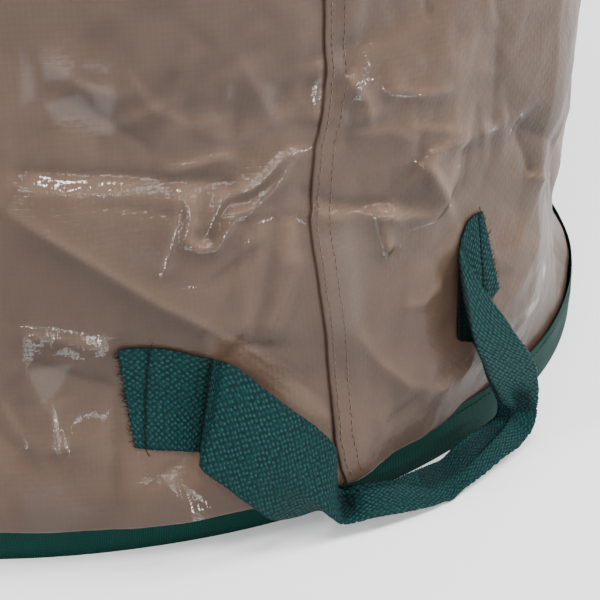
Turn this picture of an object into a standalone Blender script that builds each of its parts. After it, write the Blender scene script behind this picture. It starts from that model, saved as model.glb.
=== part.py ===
"""Round, self-standing garden waste bag with two carrying handles at the rim and a tipping handle low on the wall.

Frame: metres, +Z up, origin at the centre of the base's underside.
The side seam and the tipping handle face -Y.
phi is the angle round the bag from -Y towards +X, in degrees.
"""

import math

import bmesh
import bpy
import numpy as np
from mathutils import Matrix, Vector

# ---------------------------------------------------------------- driving sizes
BASE_RADIUS = 0.3350  # outside of the base edge binding
HEIGHT = 0.7600  # floor to the top of the rim
FACETS = 60  # facets of every round piece, all in phase
GAP = 0.0004  # running gap between pieces that touch

CLOTH = 0.0012  # coated woven cloth, as a solid
BINDING = 0.0010  # edge tape
WEBBING = 0.0016  # handle webbing, one layer
WEBBING_WIDTH = 0.0500
GRIP_WIDTH = 0.0240  # webbing folded lengthwise in the middle of a handle
GRIP_THICKNESS = 0.0044
THREAD = 0.0004  # radius of a line of stitches

WALL_OUT = 0.3314  # outer face of the wall panel
WALL_IN = WALL_OUT - CLOTH
LAP_STEP = CLOTH + 0.0003  # the lap's top layer stands this far out
LAP_DEG = 2.6  # width of the lapped seam
WALL_BOTTOM, WALL_TOP = 0.0016, 0.7147
BASE_BINDING_TOP = 0.0250

HEM_BOTTOM, HEM_TOP = 0.7150, 0.7585
HEM_INNER = 0.3180
RIM_BINDING_BOTTOM = 0.7350
HOOP_RADIUS, HOOP_Z, HOOP_ROD = 0.3248, 0.7520, 0.0025
SLEEVE_OUT, SLEEVE_IN, SLEEVE_LENGTH = 0.0042, 0.0035, 0.0400

PATCH_IN = WALL_OUT + 0.0005  # inner face of a sewn handle end
PATCH_OUT = PATCH_IN + WEBBING
STITCH_R = PATCH_OUT + 0.0003 + THREAD
SEWN_LENGTH = 0.0390  # length of webbing sewn to the wall at each end
SEWN_SHORT = 0.0330  # the same where the tipping handle is folded back early


# ---------------------------------------------------------------- scene set-up
for old in list(bpy.data.objects):
    bpy.data.objects.remove(old, do_unlink=True)

PARTS = bpy.data.collections.new("garden_waste_bag")
bpy.context.scene.collection.children.link(PARTS)


def material(name, colour, roughness, metallic=0.0):
    m = bpy.data.materials.new(name)
    m.use_nodes = True
    shader = m.node_tree.nodes["Principled BSDF"]
    shader.inputs["Base Color"].default_value = (*colour, 1.0)
    shader.inputs["Roughness"].default_value = roughness
    shader.inputs["Metallic"].default_value = metallic
    m.diffuse_color = (*colour, 1.0)
    return m


BROWN = material("coated_brown_cloth", (0.205, 0.155, 0.118), 0.34)
BASE_BROWN = material("coated_brown_base", (0.180, 0.136, 0.104), 0.38)
GREEN_TAPE = material("green_edge_tape", (0.018, 0.120, 0.098), 0.70)
GREEN_WEB = material("green_webbing", (0.010, 0.075, 0.068), 0.80)
BEIGE_THREAD = material("beige_thread", (0.520, 0.430, 0.330), 0.60)
GREEN_THREAD = material("green_thread", (0.008, 0.060, 0.055), 0.60)
BLACK_ROD = material("black_hoop_rod", (0.020, 0.020, 0.022), 0.45)
GREY_SLEEVE = material("grey_sleeve", (0.300, 0.310, 0.320), 0.40)


def place(obj, mat, parent=None):
    """Puts an object in the parts collection with its own material."""
    for c in list(obj.users_collection):
        c.objects.unlink(obj)
    PARTS.objects.link(obj)
    obj.data.materials.clear()
    obj.data.materials.append(mat)
    if parent is not None:
        obj.parent = parent
        obj.matrix_parent_inverse = parent.matrix_world.inverted()
    return obj


def empty(name, position):
    e = bpy.data.objects.new(name, None)
    e.location = position
    e.empty_display_size = 0.03
    PARTS.objects.link(e)
    bpy.context.view_layer.update()
    return e


def mesh_object(name, bm, mat, parent=None):
    me = bpy.data.meshes.new(name)
    bm.to_mesh(me)
    bm.free()
    obj = bpy.data.objects.new(name, me)
    bpy.context.scene.collection.objects.link(obj)
    return place(obj, mat, parent)


def on_wall(phi, z, r):
    """The point at angle phi, height z and radius r."""
    a = math.radians(phi)
    return Vector((r * math.sin(a), -r * math.cos(a), z))


def turned(name, profile, mat, parent=None):
    """A ring whose closed profile of (r, z) points runs down its outer side."""
    me = bpy.data.meshes.new(name)
    n = len(profile)
    me.from_pydata(
        [(r, 0.0, z) for r, z in profile], [(i, (i + 1) % n) for i in range(n)], []
    )
    obj = bpy.data.objects.new(name, me)
    bpy.context.scene.collection.objects.link(obj)
    s = obj.modifiers.new("turn", "SCREW")
    s.axis = "Z"
    s.angle = math.tau
    s.steps = s.render_steps = FACETS
    s.use_merge_vertices = True
    s.merge_threshold = 0.00005
    s.use_smooth_shade = True
    return place(obj, mat, parent)


def thread_ring(name, radius, z, mat, parent=None):
    """A row of stitches right round the bag."""
    bpy.ops.mesh.primitive_torus_add(
        major_segments=FACETS,
        minor_segments=5,
        major_radius=radius,
        minor_radius=THREAD,
        location=(0, 0, z),
    )
    obj = bpy.context.object
    obj.name = obj.data.name = name
    obj.data.shade_smooth()
    return place(obj, mat, parent)


def tube(name, points, radius, mat, parent=None, resolution=2):
    """A round rod through points, with filled ends."""
    curve = bpy.data.curves.new(name, "CURVE")
    curve.dimensions = "3D"
    curve.bevel_depth = radius
    curve.bevel_resolution = resolution
    curve.use_fill_caps = True
    line = curve.splines.new("POLY")
    line.points.add(len(points) - 1)
    for p, co in zip(line.points, points):
        p.co = (*co, 1.0)
    obj = bpy.data.objects.new(name, curve)
    bpy.context.scene.collection.objects.link(obj)
    return place(obj, mat, parent)


# ---------------------------------------------------------------- base
bm = bmesh.new()
bmesh.ops.create_cone(
    bm,
    cap_ends=True,
    segments=FACETS,
    radius1=WALL_IN - GAP,
    radius2=WALL_IN - GAP,
    depth=0.0015,
    matrix=Matrix.Translation((0, 0, 0.00075)),
)
mesh_object("base_panel", bm, BASE_BROWN)

# The tape stands outside the wall's lower edge and turns in under it.
turned(
    "base_edge_binding",
    [
        (BASE_RADIUS, BASE_BINDING_TOP),
        (BASE_RADIUS, 0.0),
        (WALL_IN, 0.0),
        (WALL_IN, 0.0012),
        (BASE_RADIUS - BINDING, 0.0012),
        (BASE_RADIUS - BINDING, BASE_BINDING_TOP),
    ],
    GREEN_TAPE,
)
thread_ring(
    "base_seam_thread", BASE_RADIUS + 0.0003 + THREAD, BASE_BINDING_TOP - 0.004, GREEN_THREAD
)

# ---------------------------------------------------------------- wall
# One sheet rolled into a tube. Its plain edge runs under the lap at +LAP_DEG;
# its folded edge lies on top at phi = 0.
STEP_DEG = 360.0 / FACETS
outline = [(LAP_DEG, WALL_IN)]
outline += [(-STEP_DEG * k, WALL_IN) for k in range(FACETS)]
outline += [(-355.4, WALL_IN + LAP_STEP), (-357.6, WALL_IN + LAP_STEP)]
outline += [(-360.0, WALL_IN + LAP_STEP)]
bm = bmesh.new()
foot = [bm.verts.new(on_wall(phi, WALL_BOTTOM, r)) for phi, r in outline]
edges = [bm.edges.new((a, b)) for a, b in zip(foot, foot[1:])]
grown = bmesh.ops.extrude_edge_only(bm, edges=edges)
top = [v for v in grown["geom"] if isinstance(v, bmesh.types.BMVert)]
bmesh.ops.translate(bm, verts=top, vec=(0, 0, WALL_TOP - WALL_BOTTOM))
bm.normal_update()
face = bm.faces[:][FACETS // 3]
if face.normal.dot(face.calc_center_median() * Vector((1, 1, 0))) < 0:
    bmesh.ops.reverse_faces(bm, faces=bm.faces[:])
wall = mesh_object("wall_panel", bm, BROWN)
shell = wall.modifiers.new("cloth", "SOLIDIFY")
shell.thickness = CLOTH
shell.offset = 1.0
shell.use_even_offset = True

for k, millimetres in enumerate((3.0, 9.5), start=1):
    phi = math.degrees(millimetres / 1000 / WALL_OUT)
    r = WALL_OUT + LAP_STEP + 0.0003 + THREAD
    tube(
        f"side_seam_thread_{k}",
        [on_wall(phi, z, r) for z in (BASE_BINDING_TOP + 0.003, WALL_TOP - 0.002)],
        THREAD,
        BEIGE_THREAD,
        resolution=1,
    )

# ---------------------------------------------------------------- rim
rim = empty("rim_slide", (0, 0, HEIGHT))
# The wall's top edge, turned in over the hoop and sewn; open downwards.
turned(
    "rim_hem",
    [
        (WALL_OUT, HEM_TOP),
        (WALL_OUT, HEM_BOTTOM),
        (WALL_IN, HEM_BOTTOM),
        (WALL_IN, HEM_TOP - CLOTH),
        (HEM_INNER + CLOTH, HEM_TOP - CLOTH),
        (HEM_INNER + CLOTH, HEM_BOTTOM),
        (HEM_INNER, HEM_BOTTOM),
        (HEM_INNER, HEM_TOP),
    ],
    BROWN,
    rim,
)
turned(
    "rim_edge_binding",
    [
        (WALL_OUT + GAP + BINDING, HEIGHT),
        (WALL_OUT + GAP + BINDING, RIM_BINDING_BOTTOM),
        (WALL_OUT + GAP, RIM_BINDING_BOTTOM),
        (WALL_OUT + GAP, HEM_TOP + GAP),
        (HEM_INNER - GAP, HEM_TOP + GAP),
        (HEM_INNER - GAP, RIM_BINDING_BOTTOM),
        (HEM_INNER - GAP - BINDING, RIM_BINDING_BOTTOM),
        (HEM_INNER - GAP - BINDING, HEIGHT),
    ],
    GREEN_TAPE,
    rim,
)
thread_ring("rim_hem_thread", WALL_OUT + 0.0003 + THREAD, 0.7220, BEIGE_THREAD, rim)
thread_ring(
    "rim_binding_thread",
    WALL_OUT + GAP + BINDING + 0.0003 + THREAD,
    RIM_BINDING_BOTTOM + 0.004,
    GREEN_THREAD,
    rim,
)

# The hoop is a straight rod bent round; its ends meet in a sleeve at the back.
hoop_points = [
    on_wall(180.25 + 359.5 * k / FACETS, HOOP_Z, HOOP_RADIUS) for k in range(FACETS + 1)
]
tube("rim_hoop", hoop_points, HOOP_ROD, BLACK_ROD, rim)
me = bpy.data.meshes.new("hoop_joint_sleeve")
h = SLEEVE_LENGTH / 2
section = [(SLEEVE_OUT, h), (SLEEVE_OUT, -h), (SLEEVE_IN, -h), (SLEEVE_IN, h)]
me.from_pydata([(r, 0, z) for r, z in section], [(0, 1), (1, 2), (2, 3), (3, 0)], [])
sleeve = bpy.data.objects.new("hoop_joint_sleeve", me)
bpy.context.scene.collection.objects.link(sleeve)
turn = sleeve.modifiers.new("turn", "SCREW")
turn.axis = "Z"
turn.steps = turn.render_steps = 16
turn.use_merge_vertices = True
turn.merge_threshold = 0.00005
turn.use_smooth_shade = True
sleeve.location = (0, HOOP_RADIUS - 0.00055, HOOP_Z)
sleeve.rotation_euler = (0, math.radians(90), 0)
place(sleeve, GREY_SLEEVE, rim)


# ---------------------------------------------------------------- handles
def sewn_end(name, phi, z, tilt, length=SEWN_LENGTH, mat=GREEN_WEB, parent=None):
    """A flat end of webbing sewn on the wall. tilt turns its length, in degrees."""
    bm = bmesh.new()
    bmesh.ops.create_grid(bm, x_segments=5, y_segments=2, size=0.5)
    c, s = math.cos(math.radians(tilt)), math.sin(math.radians(tilt))
    for v in bm.verts:
        x, y = v.co.x * length, v.co.y * WEBBING_WIDTH
        along, up = x * c - y * s, x * s + y * c
        v.co = on_wall(phi + math.degrees(along / PATCH_IN), z + up, PATCH_IN)
    obj = mesh_object(name, bm, mat, parent)
    m = obj.modifiers.new("webbing", "SOLIDIFY")
    m.thickness = WEBBING
    m.offset = 1.0
    m.use_even_offset = True
    return obj


def stitch_row(name, phi, z, tilt, at, parent=None):
    """A line of stitches across a sewn end, at this distance from its middle."""
    c, s = math.cos(math.radians(tilt)), math.sin(math.radians(tilt))
    points = []
    for y in np.linspace(-0.021, 0.021, 5):
        along, up = at * c - y * s, at * s + y * c
        points.append(on_wall(phi + math.degrees(along / PATCH_IN), z + up, STITCH_R))
    return tube(name, points, THREAD, GREEN_THREAD, parent, resolution=1)


def smooth(rows, n):
    """n rows on a Catmull-Rom curve through rows, evenly spaced along it."""
    p = np.array(rows, float)
    p = np.vstack([2 * p[0] - p[1], p, 2 * p[-1] - p[-2]])
    fine = []
    for i in range(1, len(p) - 2):
        for t in np.linspace(0, 1, 24, endpoint=False):
            a, b, c, d = p[i - 1 : i + 3]
            fine.append(
                0.5
                * (
                    2 * b
                    + (c - a) * t
                    + (2 * a - 5 * b + 4 * c - d) * t * t
                    + (3 * b - a - 3 * c + d) * t**3
                )
            )
    fine = np.array(fine + [p[-2]])
    run = np.concatenate(
        [[0], np.cumsum(np.linalg.norm(np.diff(fine[:, :3], axis=0), axis=1))]
    )
    at = np.linspace(0, run[-1], n)
    return np.stack([np.interp(at, run, fine[:, k]) for k in range(p.shape[1])], axis=1)


def loop(name, phi0, route, mat, parent, n=30):
    """The free webbing between two sewn ends, lofted along route.

    route rows are (phi, z, r, width, thickness), with phi counted from phi0.
    """
    rows = [
        (*on_wall(phi0 + phi, z, r), w / 1.0, t) for phi, z, r, w, t in route
    ]
    rows = smooth(rows, n)
    bm = bmesh.new()
    rings = []
    for i, (x, y, z, w, t) in enumerate(rows):
        ahead = Vector(rows[min(i + 1, n - 1)][:3]) - Vector(rows[max(i - 1, 0)][:3])
        ahead.normalize()
        out = Vector((x, y, 0)).normalized()
        wide = out.cross(ahead).normalized()
        thick = ahead.cross(wide).normalized()
        here = Vector((x, y, z))
        rings.append(
            [
                bm.verts.new(here + wide * (w / 2 * a) + thick * (t / 2 * b))
                for a, b in ((1, 1), (1, -1), (-1, -1), (-1, 1))
            ]
        )
    for a, b in zip(rings, rings[1:]):
        for k in range(4):
            j = (k + 1) % 4
            bm.faces.new((a[k], a[j], b[j], b[k]))
    bm.faces.new(rings[0][::-1])
    bm.faces.new(rings[-1])
    bmesh.ops.recalc_face_normals(bm, faces=bm.faces[:])
    return mesh_object(name, bm, mat, parent)


START_R = 0.3369  # middle of the webbing where it leaves a sewn end
FLAT = (WEBBING_WIDTH, WEBBING)
GRIP = (GRIP_WIDTH, GRIP_THICKNESS)

# Tipping handle: hangs in front of the seam, its middle folded into a grip
# that has slumped towards +X and just clears the floor.
TIP_LEFT = (-13.9, 0.0815, -14.0)  # phi, z, tilt of the sewn end
TIP_RIGHT = (16.6, 0.1040, 18.0)
# The webbing lifts off the wall about a line through the top of both inner
# fold lines: phi and z of that line's ends.
TIP_FOLD_LEFT = (-10.0, 0.1030)
TIP_FOLD_RIGHT = (13.9, 0.1250)
a = on_wall(*TIP_FOLD_LEFT, START_R)
b = on_wall(*TIP_FOLD_RIGHT, START_R)
tipping = empty("tipping_handle_hinge", (a + b) / 2)
for side, (phi, z, tilt), sign, length in (
    ("left", TIP_LEFT, 1, SEWN_LENGTH),
    ("right", TIP_RIGHT, -1, SEWN_SHORT),
):
    sewn_end(f"tipping_handle_{side}_end", phi, z, tilt, length)
    outer, inner = -sign * (length / 2 - 0.0110), sign * (length / 2 - 0.0070)
    stitch_row(f"tipping_handle_{side}_stitch_outer", phi, z, tilt, outer)
    stitch_row(f"tipping_handle_{side}_stitch_inner", phi, z, tilt, inner)
loop(
    "tipping_handle_loop",
    0.0,
    [
        (-10.2, 0.0760, START_R, *FLAT),
        (-7.6, 0.0600, 0.3440, 0.049, 0.0018),
        (-4.8, 0.0440, 0.3530, 0.044, 0.0026),
        (-1.2, 0.0270, 0.3620, 0.030, 0.0040),
        (3.0, 0.0185, 0.3665, *GRIP),
        (8.5, 0.0165, 0.3680, *GRIP),
        (13.4, 0.0190, 0.3675, *GRIP),
        (17.0, 0.0295, 0.3655, *GRIP),
        (17.8, 0.0440, 0.3620, *GRIP),
        (16.7, 0.0630, 0.3550, *GRIP),
        (15.3, 0.0810, 0.3485, 0.028, 0.0036),
        (13.9, 0.0950, 0.3420, 0.034, 0.0028),
        (13.1, 0.1010, START_R + 0.0012, 0.040, 0.0022),
    ],
    GREEN_WEB,
    tipping,
    n=36,
)

# Carrying handles: one each side, just under the rim hem, hanging down.
CARRY_Z = 0.6860
CARRY_FOLD = 12.2
CARRY_HINGE_Z = CARRY_Z + WEBBING_WIDTH / 2
for side, phi0 in (("left", -90.0), ("right", 90.0)):
    # The hinge line is the chord between the tops of the two inner fold lines.
    chord = START_R * math.cos(math.radians(CARRY_FOLD))
    carry = empty(f"{side}_handle_hinge", on_wall(phi0, CARRY_HINGE_Z, chord))
    for end, sign in (("front", 1 if side == "left" else -1), ("rear", 1 if side == "right" else -1)):
        phi = phi0 + sign * (CARRY_FOLD + 3.3)
        sewn_end(f"{side}_handle_{end}_end", phi, CARRY_Z, 0.0, parent=rim)
        stitch_row(
            f"{side}_handle_{end}_stitch_outer", phi, CARRY_Z, 0.0, sign * 0.0085, rim
        )
        stitch_row(
            f"{side}_handle_{end}_stitch_inner", phi, CARRY_Z, 0.0, -sign * 0.0125, rim
        )
    route = []
    for phi, drop, out, w, t in (
        (11.9, 0.000, 0.0000, *FLAT),
        (11.0, 0.020, 0.0060, 0.048, 0.0018),
        (10.0, 0.042, 0.0150, 0.040, 0.0028),
        (7.6, 0.066, 0.0240, 0.029, 0.0042),
        (3.6, 0.079, 0.0285, *GRIP),
        (0.0, 0.083, 0.0300, *GRIP),
    ):
        route.append((phi, CARRY_Z - drop, START_R + out, w, t))
    mirrored = [(-row[0], *row[1:]) for row in route[:-1]]
    loop(f"{side}_handle_loop", phi0, mirrored + route[::-1], GREEN_WEB, carry)
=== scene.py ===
import math

import bpy
import numpy as np
from mathutils import Matrix, Vector


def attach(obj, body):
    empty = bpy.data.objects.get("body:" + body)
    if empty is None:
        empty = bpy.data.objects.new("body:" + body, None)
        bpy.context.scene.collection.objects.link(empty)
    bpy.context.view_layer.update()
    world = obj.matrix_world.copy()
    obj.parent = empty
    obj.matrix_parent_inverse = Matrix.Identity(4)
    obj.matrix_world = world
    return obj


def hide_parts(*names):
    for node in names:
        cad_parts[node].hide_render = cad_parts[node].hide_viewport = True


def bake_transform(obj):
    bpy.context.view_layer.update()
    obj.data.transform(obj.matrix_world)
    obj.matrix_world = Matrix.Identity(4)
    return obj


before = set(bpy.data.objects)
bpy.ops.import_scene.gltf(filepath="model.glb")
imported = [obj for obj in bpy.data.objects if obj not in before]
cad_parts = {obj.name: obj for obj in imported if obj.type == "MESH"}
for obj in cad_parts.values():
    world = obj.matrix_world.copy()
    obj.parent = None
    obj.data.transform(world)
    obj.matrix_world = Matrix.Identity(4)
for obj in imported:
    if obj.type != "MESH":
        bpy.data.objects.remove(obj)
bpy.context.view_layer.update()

# ============================================================ camera
# The camera stands 0.95 m from the base's centre, 19.2 degrees round from the
# seam towards -X. Pixel places below are in the 600 x 600 view that it makes.
SEAM_AZ = math.radians(19.2)
CAM_DIST, CAM_ELEV = 0.95, math.radians(25.4)
CAM_YAW, CAM_PITCH, CAM_ROLL = math.radians(-10.1), math.radians(27.6), math.radians(0.08)
FOCAL_PX = 1330.1


def turn_z(v, a):
    c, s = math.cos(a), math.sin(a)
    return np.array([v[0] * c - v[1] * s, v[0] * s + v[1] * c, v[2]])


_d = np.array(
    [
        -math.sin(CAM_YAW) * math.cos(CAM_PITCH),
        math.cos(CAM_YAW) * math.cos(CAM_PITCH),
        -math.sin(CAM_PITCH),
    ]
)
_r = np.cross(_d, [0, 0, 1.0])
_r /= np.linalg.norm(_r)
_u = np.cross(_r, _d)
_c, _s = math.cos(CAM_ROLL), math.sin(CAM_ROLL)
_r, _u = _r * _c + _u * _s, -_r * _s + _u * _c
CAM_D, CAM_R, CAM_U = (turn_z(v, -SEAM_AZ) for v in (_d, _r, _u))
CAM_P = turn_z(
    np.array([0, -CAM_DIST * math.cos(CAM_ELEV), CAM_DIST * math.sin(CAM_ELEV)]), -SEAM_AZ
)


def ray(px):
    v = CAM_D + (px[0] - 300) / FOCAL_PX * CAM_R - (px[1] - 300) / FOCAL_PX * CAM_U
    return v / np.linalg.norm(v)


def ray_cylinder(px, radius):
    v = ray(px)
    a = v[0] ** 2 + v[1] ** 2
    b = 2 * (CAM_P[0] * v[0] + CAM_P[1] * v[1])
    c = CAM_P[0] ** 2 + CAM_P[1] ** 2 - radius**2
    t = (-b - math.sqrt(max(b * b - 4 * a * c, 0.0))) / (2 * a)
    return CAM_P + t * v


def ray_plane(px, z):
    v = ray(px)
    return CAM_P + (z - CAM_P[2]) / v[2] * v


# ============================================================ small tools
R0 = 0.3340  # radius that turns an angle round the wall into a length
RW = 0.3328  # the wall cloth's own radius
ROUND = 2 * math.pi * R0
TOP_Z = 0.7200
rng = np.random.default_rng(4288)


def smoothstep(a, b, x):
    t = np.clip((x - a) / (b - a), 0, 1)
    return t * t * (3 - 2 * t)


def hashed(ix, iy, seed):
    h = (
        ix.astype(np.int64) * 374761393
        + iy.astype(np.int64) * 668265263
        + int(seed) * 974634777
    ) & 0xFFFFFFFF
    h = ((h ^ (h >> 13)) * 1274126177) & 0xFFFFFFFF
    h = (h ^ (h >> 16)) & 0xFFFFFFFF
    return h / 4294967296.0


def cells(s, z, cell):
    """Grid cells that close round the bag."""
    n = max(3, int(round(ROUND / cell)))
    x = s / (ROUND / n)
    y = z / cell
    ix, iy = np.floor(x), np.floor(y)
    return n, ix, iy, x - ix, y - iy


def soft_noise(s, z, cell, seed):
    """Smooth noise from -1 to 1."""
    n, ix, iy, fx, fy = cells(s, z, cell)
    fx, fy = fx * fx * (3 - 2 * fx), fy * fy * (3 - 2 * fy)
    h = [
        hashed((ix + i) % n, iy + j, seed) for i, j in ((0, 0), (1, 0), (0, 1), (1, 1))
    ]
    return 2 * ((h[0] * (1 - fx) + h[1] * fx) * (1 - fy) + (h[2] * (1 - fx) + h[3] * fx) * fy) - 1


def facets(s, z, cell, seed, warp=0.38):
    """Flat facets with sharp creases between them, from -1 to 1."""
    s2 = s + warp * cell * soft_noise(s, z, cell * 1.1, seed + 11)
    z2 = z + warp * cell * soft_noise(s, z, cell * 1.1, seed + 12)
    n, ix, iy, fx, fy = cells(s2, z2, cell)
    h00, h10, h01, h11 = (
        hashed((ix + i) % n, iy + j, seed) for i, j in ((0, 0), (1, 0), (0, 1), (1, 1))
    )
    a = np.where(
        fx > fy,
        h00 + fx * (h10 - h00) + fy * (h11 - h10),
        h00 + fy * (h01 - h00) + fx * (h11 - h01),
    )
    b = np.where(
        fx + fy < 1,
        h00 + fx * (h10 - h00) + fy * (h01 - h00),
        h11 + (1 - fx) * (h01 - h11) + (1 - fy) * (h10 - h11),
    )
    return 2 * np.where(hashed(ix % n, iy, seed + 7) > 0.5, a, b) - 1


def px_line(points, radius=R0):
    """(s, z) of pixels on the wall."""
    out = []
    for p in points:
        q = ray_cylinder(p, radius)
        out.append((math.atan2(q[0], -q[1]) * R0, q[2]))
    return np.array(out)


def along_line(s, z, line):
    """Signed distance to a polyline (positive on its left) and place along it, 0 to 1."""
    best = np.full(s.shape, 1e9)
    sign = np.ones(s.shape)
    place = np.zeros(s.shape)
    seg = np.linalg.norm(np.diff(line, axis=0), axis=1)
    run = np.concatenate([[0], np.cumsum(seg)])
    for k in range(len(line) - 1):
        a, b = line[k], line[k + 1]
        d = b - a
        t = np.clip(((s - a[0]) * d[0] + (z - a[1]) * d[1]) / (d @ d), 0, 1)
        ox, oy = s - a[0] - t * d[0], z - a[1] - t * d[1]
        dist = np.hypot(ox, oy)
        near = dist < best
        best = np.where(near, dist, best)
        sign = np.where(near, np.sign(d[0] * oy - d[1] * ox + 1e-15), sign)
        place = np.where(near, (run[k] + t * seg[k]) / run[-1], place)
    return best * sign, place


# ============================================================ the wall's shape
# Each crease is (kind, height in mm, width in mm left, width right, pixels).
# A ridge stands out and a valley goes in.
CREASES = [
    # long horizontal valley low under the upper bulge
    ("valley", 3.2, 22, 9, [(8, 178), (60, 180), (120, 182), (150, 183), (182, 186), (204, 185), (225, 186), (240, 194)]),
    ("ridge", 1.2, 4, 7, [(20, 192), (60, 194), (100, 196), (128, 197)]),
    # diagonal edge, in shade below
    ("ridge", 4.0, 26, 12, [(5, 214), (45, 235), (90, 262), (125, 284), (160, 305), (200, 324), (235, 344)]),
    # the raised band that runs down, round and up to the seam
    ("ridge", 2.4, 7, 3, [(178, 190), (188, 204), (190, 220), (184, 240), (196, 250), (214, 248), (225, 233), (235, 218), (250, 212), (266, 198), (281, 183), (295, 162)]),
    ("ridge", 2.0, 3, 9, [(203, 236), (210, 223), (222, 201), (236, 194), (251, 189), (266, 178), (280, 163), (290, 156), (312, 153)]),
    ("valley", 1.6, 4, 4, [(192, 238), (206, 236), (219, 214), (232, 203), (251, 200), (268, 187), (283, 172)]),
    ("ridge", 1.8, 5, 5, [(180, 196), (178, 216), (172, 236), (166, 256), (159, 278)]),
    # soft vertical folds left of the seam
    ("ridge", 1.6, 16, 10, [(258, 222), (256, 262), (250, 300), (243, 345)]),
    ("ridge", 1.4, 8, 10, [(292, 222), (286, 262), (276, 308), (264, 344)]),
    ("valley", 1.6, 9, 9, [(276, 214), (272, 260), (262, 310), (252, 350)]),
    ("ridge", 1.2, 7, 7, [(300, 250), (288, 290), (268, 342)]),
    # beside and across the seam
    ("ridge", 2.2, 8, 8, [(322, 60), (323, 82), (321, 104), (317, 128)]),
    ("ridge", 2.4, 9, 7, [(346, 78), (360, 92), (368, 104), (371, 126)]),
    ("valley", 2.0, 9, 14, [(300, 192), (330, 202), (352, 207), (392, 204), (432, 214)]),
    ("ridge", 1.4, 7, 5, [(308, 216), (340, 219), (372, 214), (398, 219)]),
    ("ridge", 1.8, 6, 5, [(374, 206), (381, 232), (386, 256)]),
    ("ridge", 1.6, 6, 6, [(392, 204), (388, 228), (384, 254)]),
    ("ridge", 2.4, 10, 6, [(384, 95), (402, 92), (424, 96), (452, 90)]),
    # the light facet right of the seam
    ("ridge", 3.0, 10, 16, [(420, 158), (434, 180), (450, 206)]),
    ("ridge", 2.2, 12, 10, [(420, 158), (445, 146), (472, 140)]),
    ("valley", 2.4, 12, 10, [(450, 206), (466, 186), (472, 140)]),
    # dark facet at the right
    ("valley", 3.0, 12, 14, [(516, 122), (534, 132), (556, 144)]),
    ("ridge", 2.4, 6, 10, [(524, 176), (540, 178), (556, 172)]),
    ("valley", 1.8, 12, 9, [(516, 122), (524, 150), (528, 176)]),
    ("ridge", 1.8, 8, 8, [(482, 138), (494, 128), (508, 116)]),
    # folds under the tipping handle and beside its ends
    ("ridge", 1.8, 8, 9, [(160, 466), (172, 478), (181, 492), (186, 508)]),
    ("ridge", 1.4, 6, 6, [(120, 520), (150, 516), (182, 508)]),
    ("ridge", 2.0, 9, 8, [(20, 336), (50, 338), (82, 344), (112, 350)]),
    ("valley", 1.8, 8, 10, [(20, 362), (56, 372), (92, 384), (118, 392)]),
    ("ridge", 1.6, 7, 9, [(48, 402), (54, 424), (62, 452)]),
    ("ridge", 1.6, 10, 8, [(352, 330), (372, 358), (400, 380), (440, 384)]),
    ("ridge", 1.5, 8, 8, [(398, 306), (420, 300), (440, 282)]),
    ("valley", 1.6, 12, 12, [(372, 420), (400, 398), (430, 372), (462, 352)]),
    ("ridge", 1.4, 8, 8, [(505, 326), (525, 304), (545, 268)]),
    ("ridge", 2.0, 10, 12, [(350, 136), (392, 132), (420, 142)]),
    ("ridge", 1.6, 12, 12, [(120, 60), (150, 110), (190, 130), (240, 122)]),
    ("valley", 1.8, 14, 12, [(60, 100), (110, 128), (160, 160)]),
    ("ridge", 1.6, 12, 10, [(40, 60), (80, 92), (120, 100)]),
    ("ridge", 1.5, 12, 12, [(240, 60), (262, 100), (290, 132)]),
]
CREASES = [(k, a / 1000, wl / 1000, wr / 1000, px_line(p)) for k, a, wl, wr, p in CREASES]

# Small folds all over the wall: height, width and two ends, all in metres.
FOLDS = []
for _k in range(230):
    _s, _z = (rng.random() - 0.5) * (ROUND - 0.14), 0.03 + 0.64 * rng.random()
    _len = 0.018 + 0.085 * rng.random() ** 1.6
    _dir = rng.normal(0.0, 0.55) + (math.pi / 2 if rng.random() < 0.45 else 0.0)
    _v = 0.5 * _len * np.array([math.cos(_dir), math.sin(_dir)])
    _amp = (0.0007 + 0.0016 * rng.random()) * (1 if rng.random() < 0.6 else -1)
    _w = 0.0030 + 0.0045 * rng.random()
    _line = np.array([np.array([_s, _z]) - _v, np.array([_s, _z]) + _v])
    FOLDS.append((_amp, _w, _line, _line.min(axis=0) - 5 * _w, _line.max(axis=0) + 5 * _w))

# How far the cloth bulges over the tape, by angle from the seam.
BULGE_DEG = [-75, -45, -26, -20, -13, -8, -0.4, 1.7, 4.3, 6.1, 9.7, 12.2, 16.3, 30, 75]
BULGE_MM = [2.0, 9.0, 13.0, 15.0, 16.0, 17.0, 16.5, 15.5, 12.0, 9.0, 7.5, 2.5, 0.0, -1.5, 0.0]

# How far a hollow right of the tipping handle pulls the cloth in, by height.
HOLLOW_Z = [0.0225, 0.026, 0.031, 0.037, 0.046, 0.055, 0.065, 0.075, 0.085, 0.095, 0.100, 0.106, 0.112, 0.126, 0.136, 0.150, 0.166, 0.21, 0.29, 0.42]
HOLLOW_MM = [0.0, -1.8, -7.0, -11.0, -13.5, -14.0, -13.5, -12.5, -10.5, -10.0, -8.0, -4.0, -1.0, -0.5, -3.5, -7.5, -9.0, -7.0, -6.0, 0.0]


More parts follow.
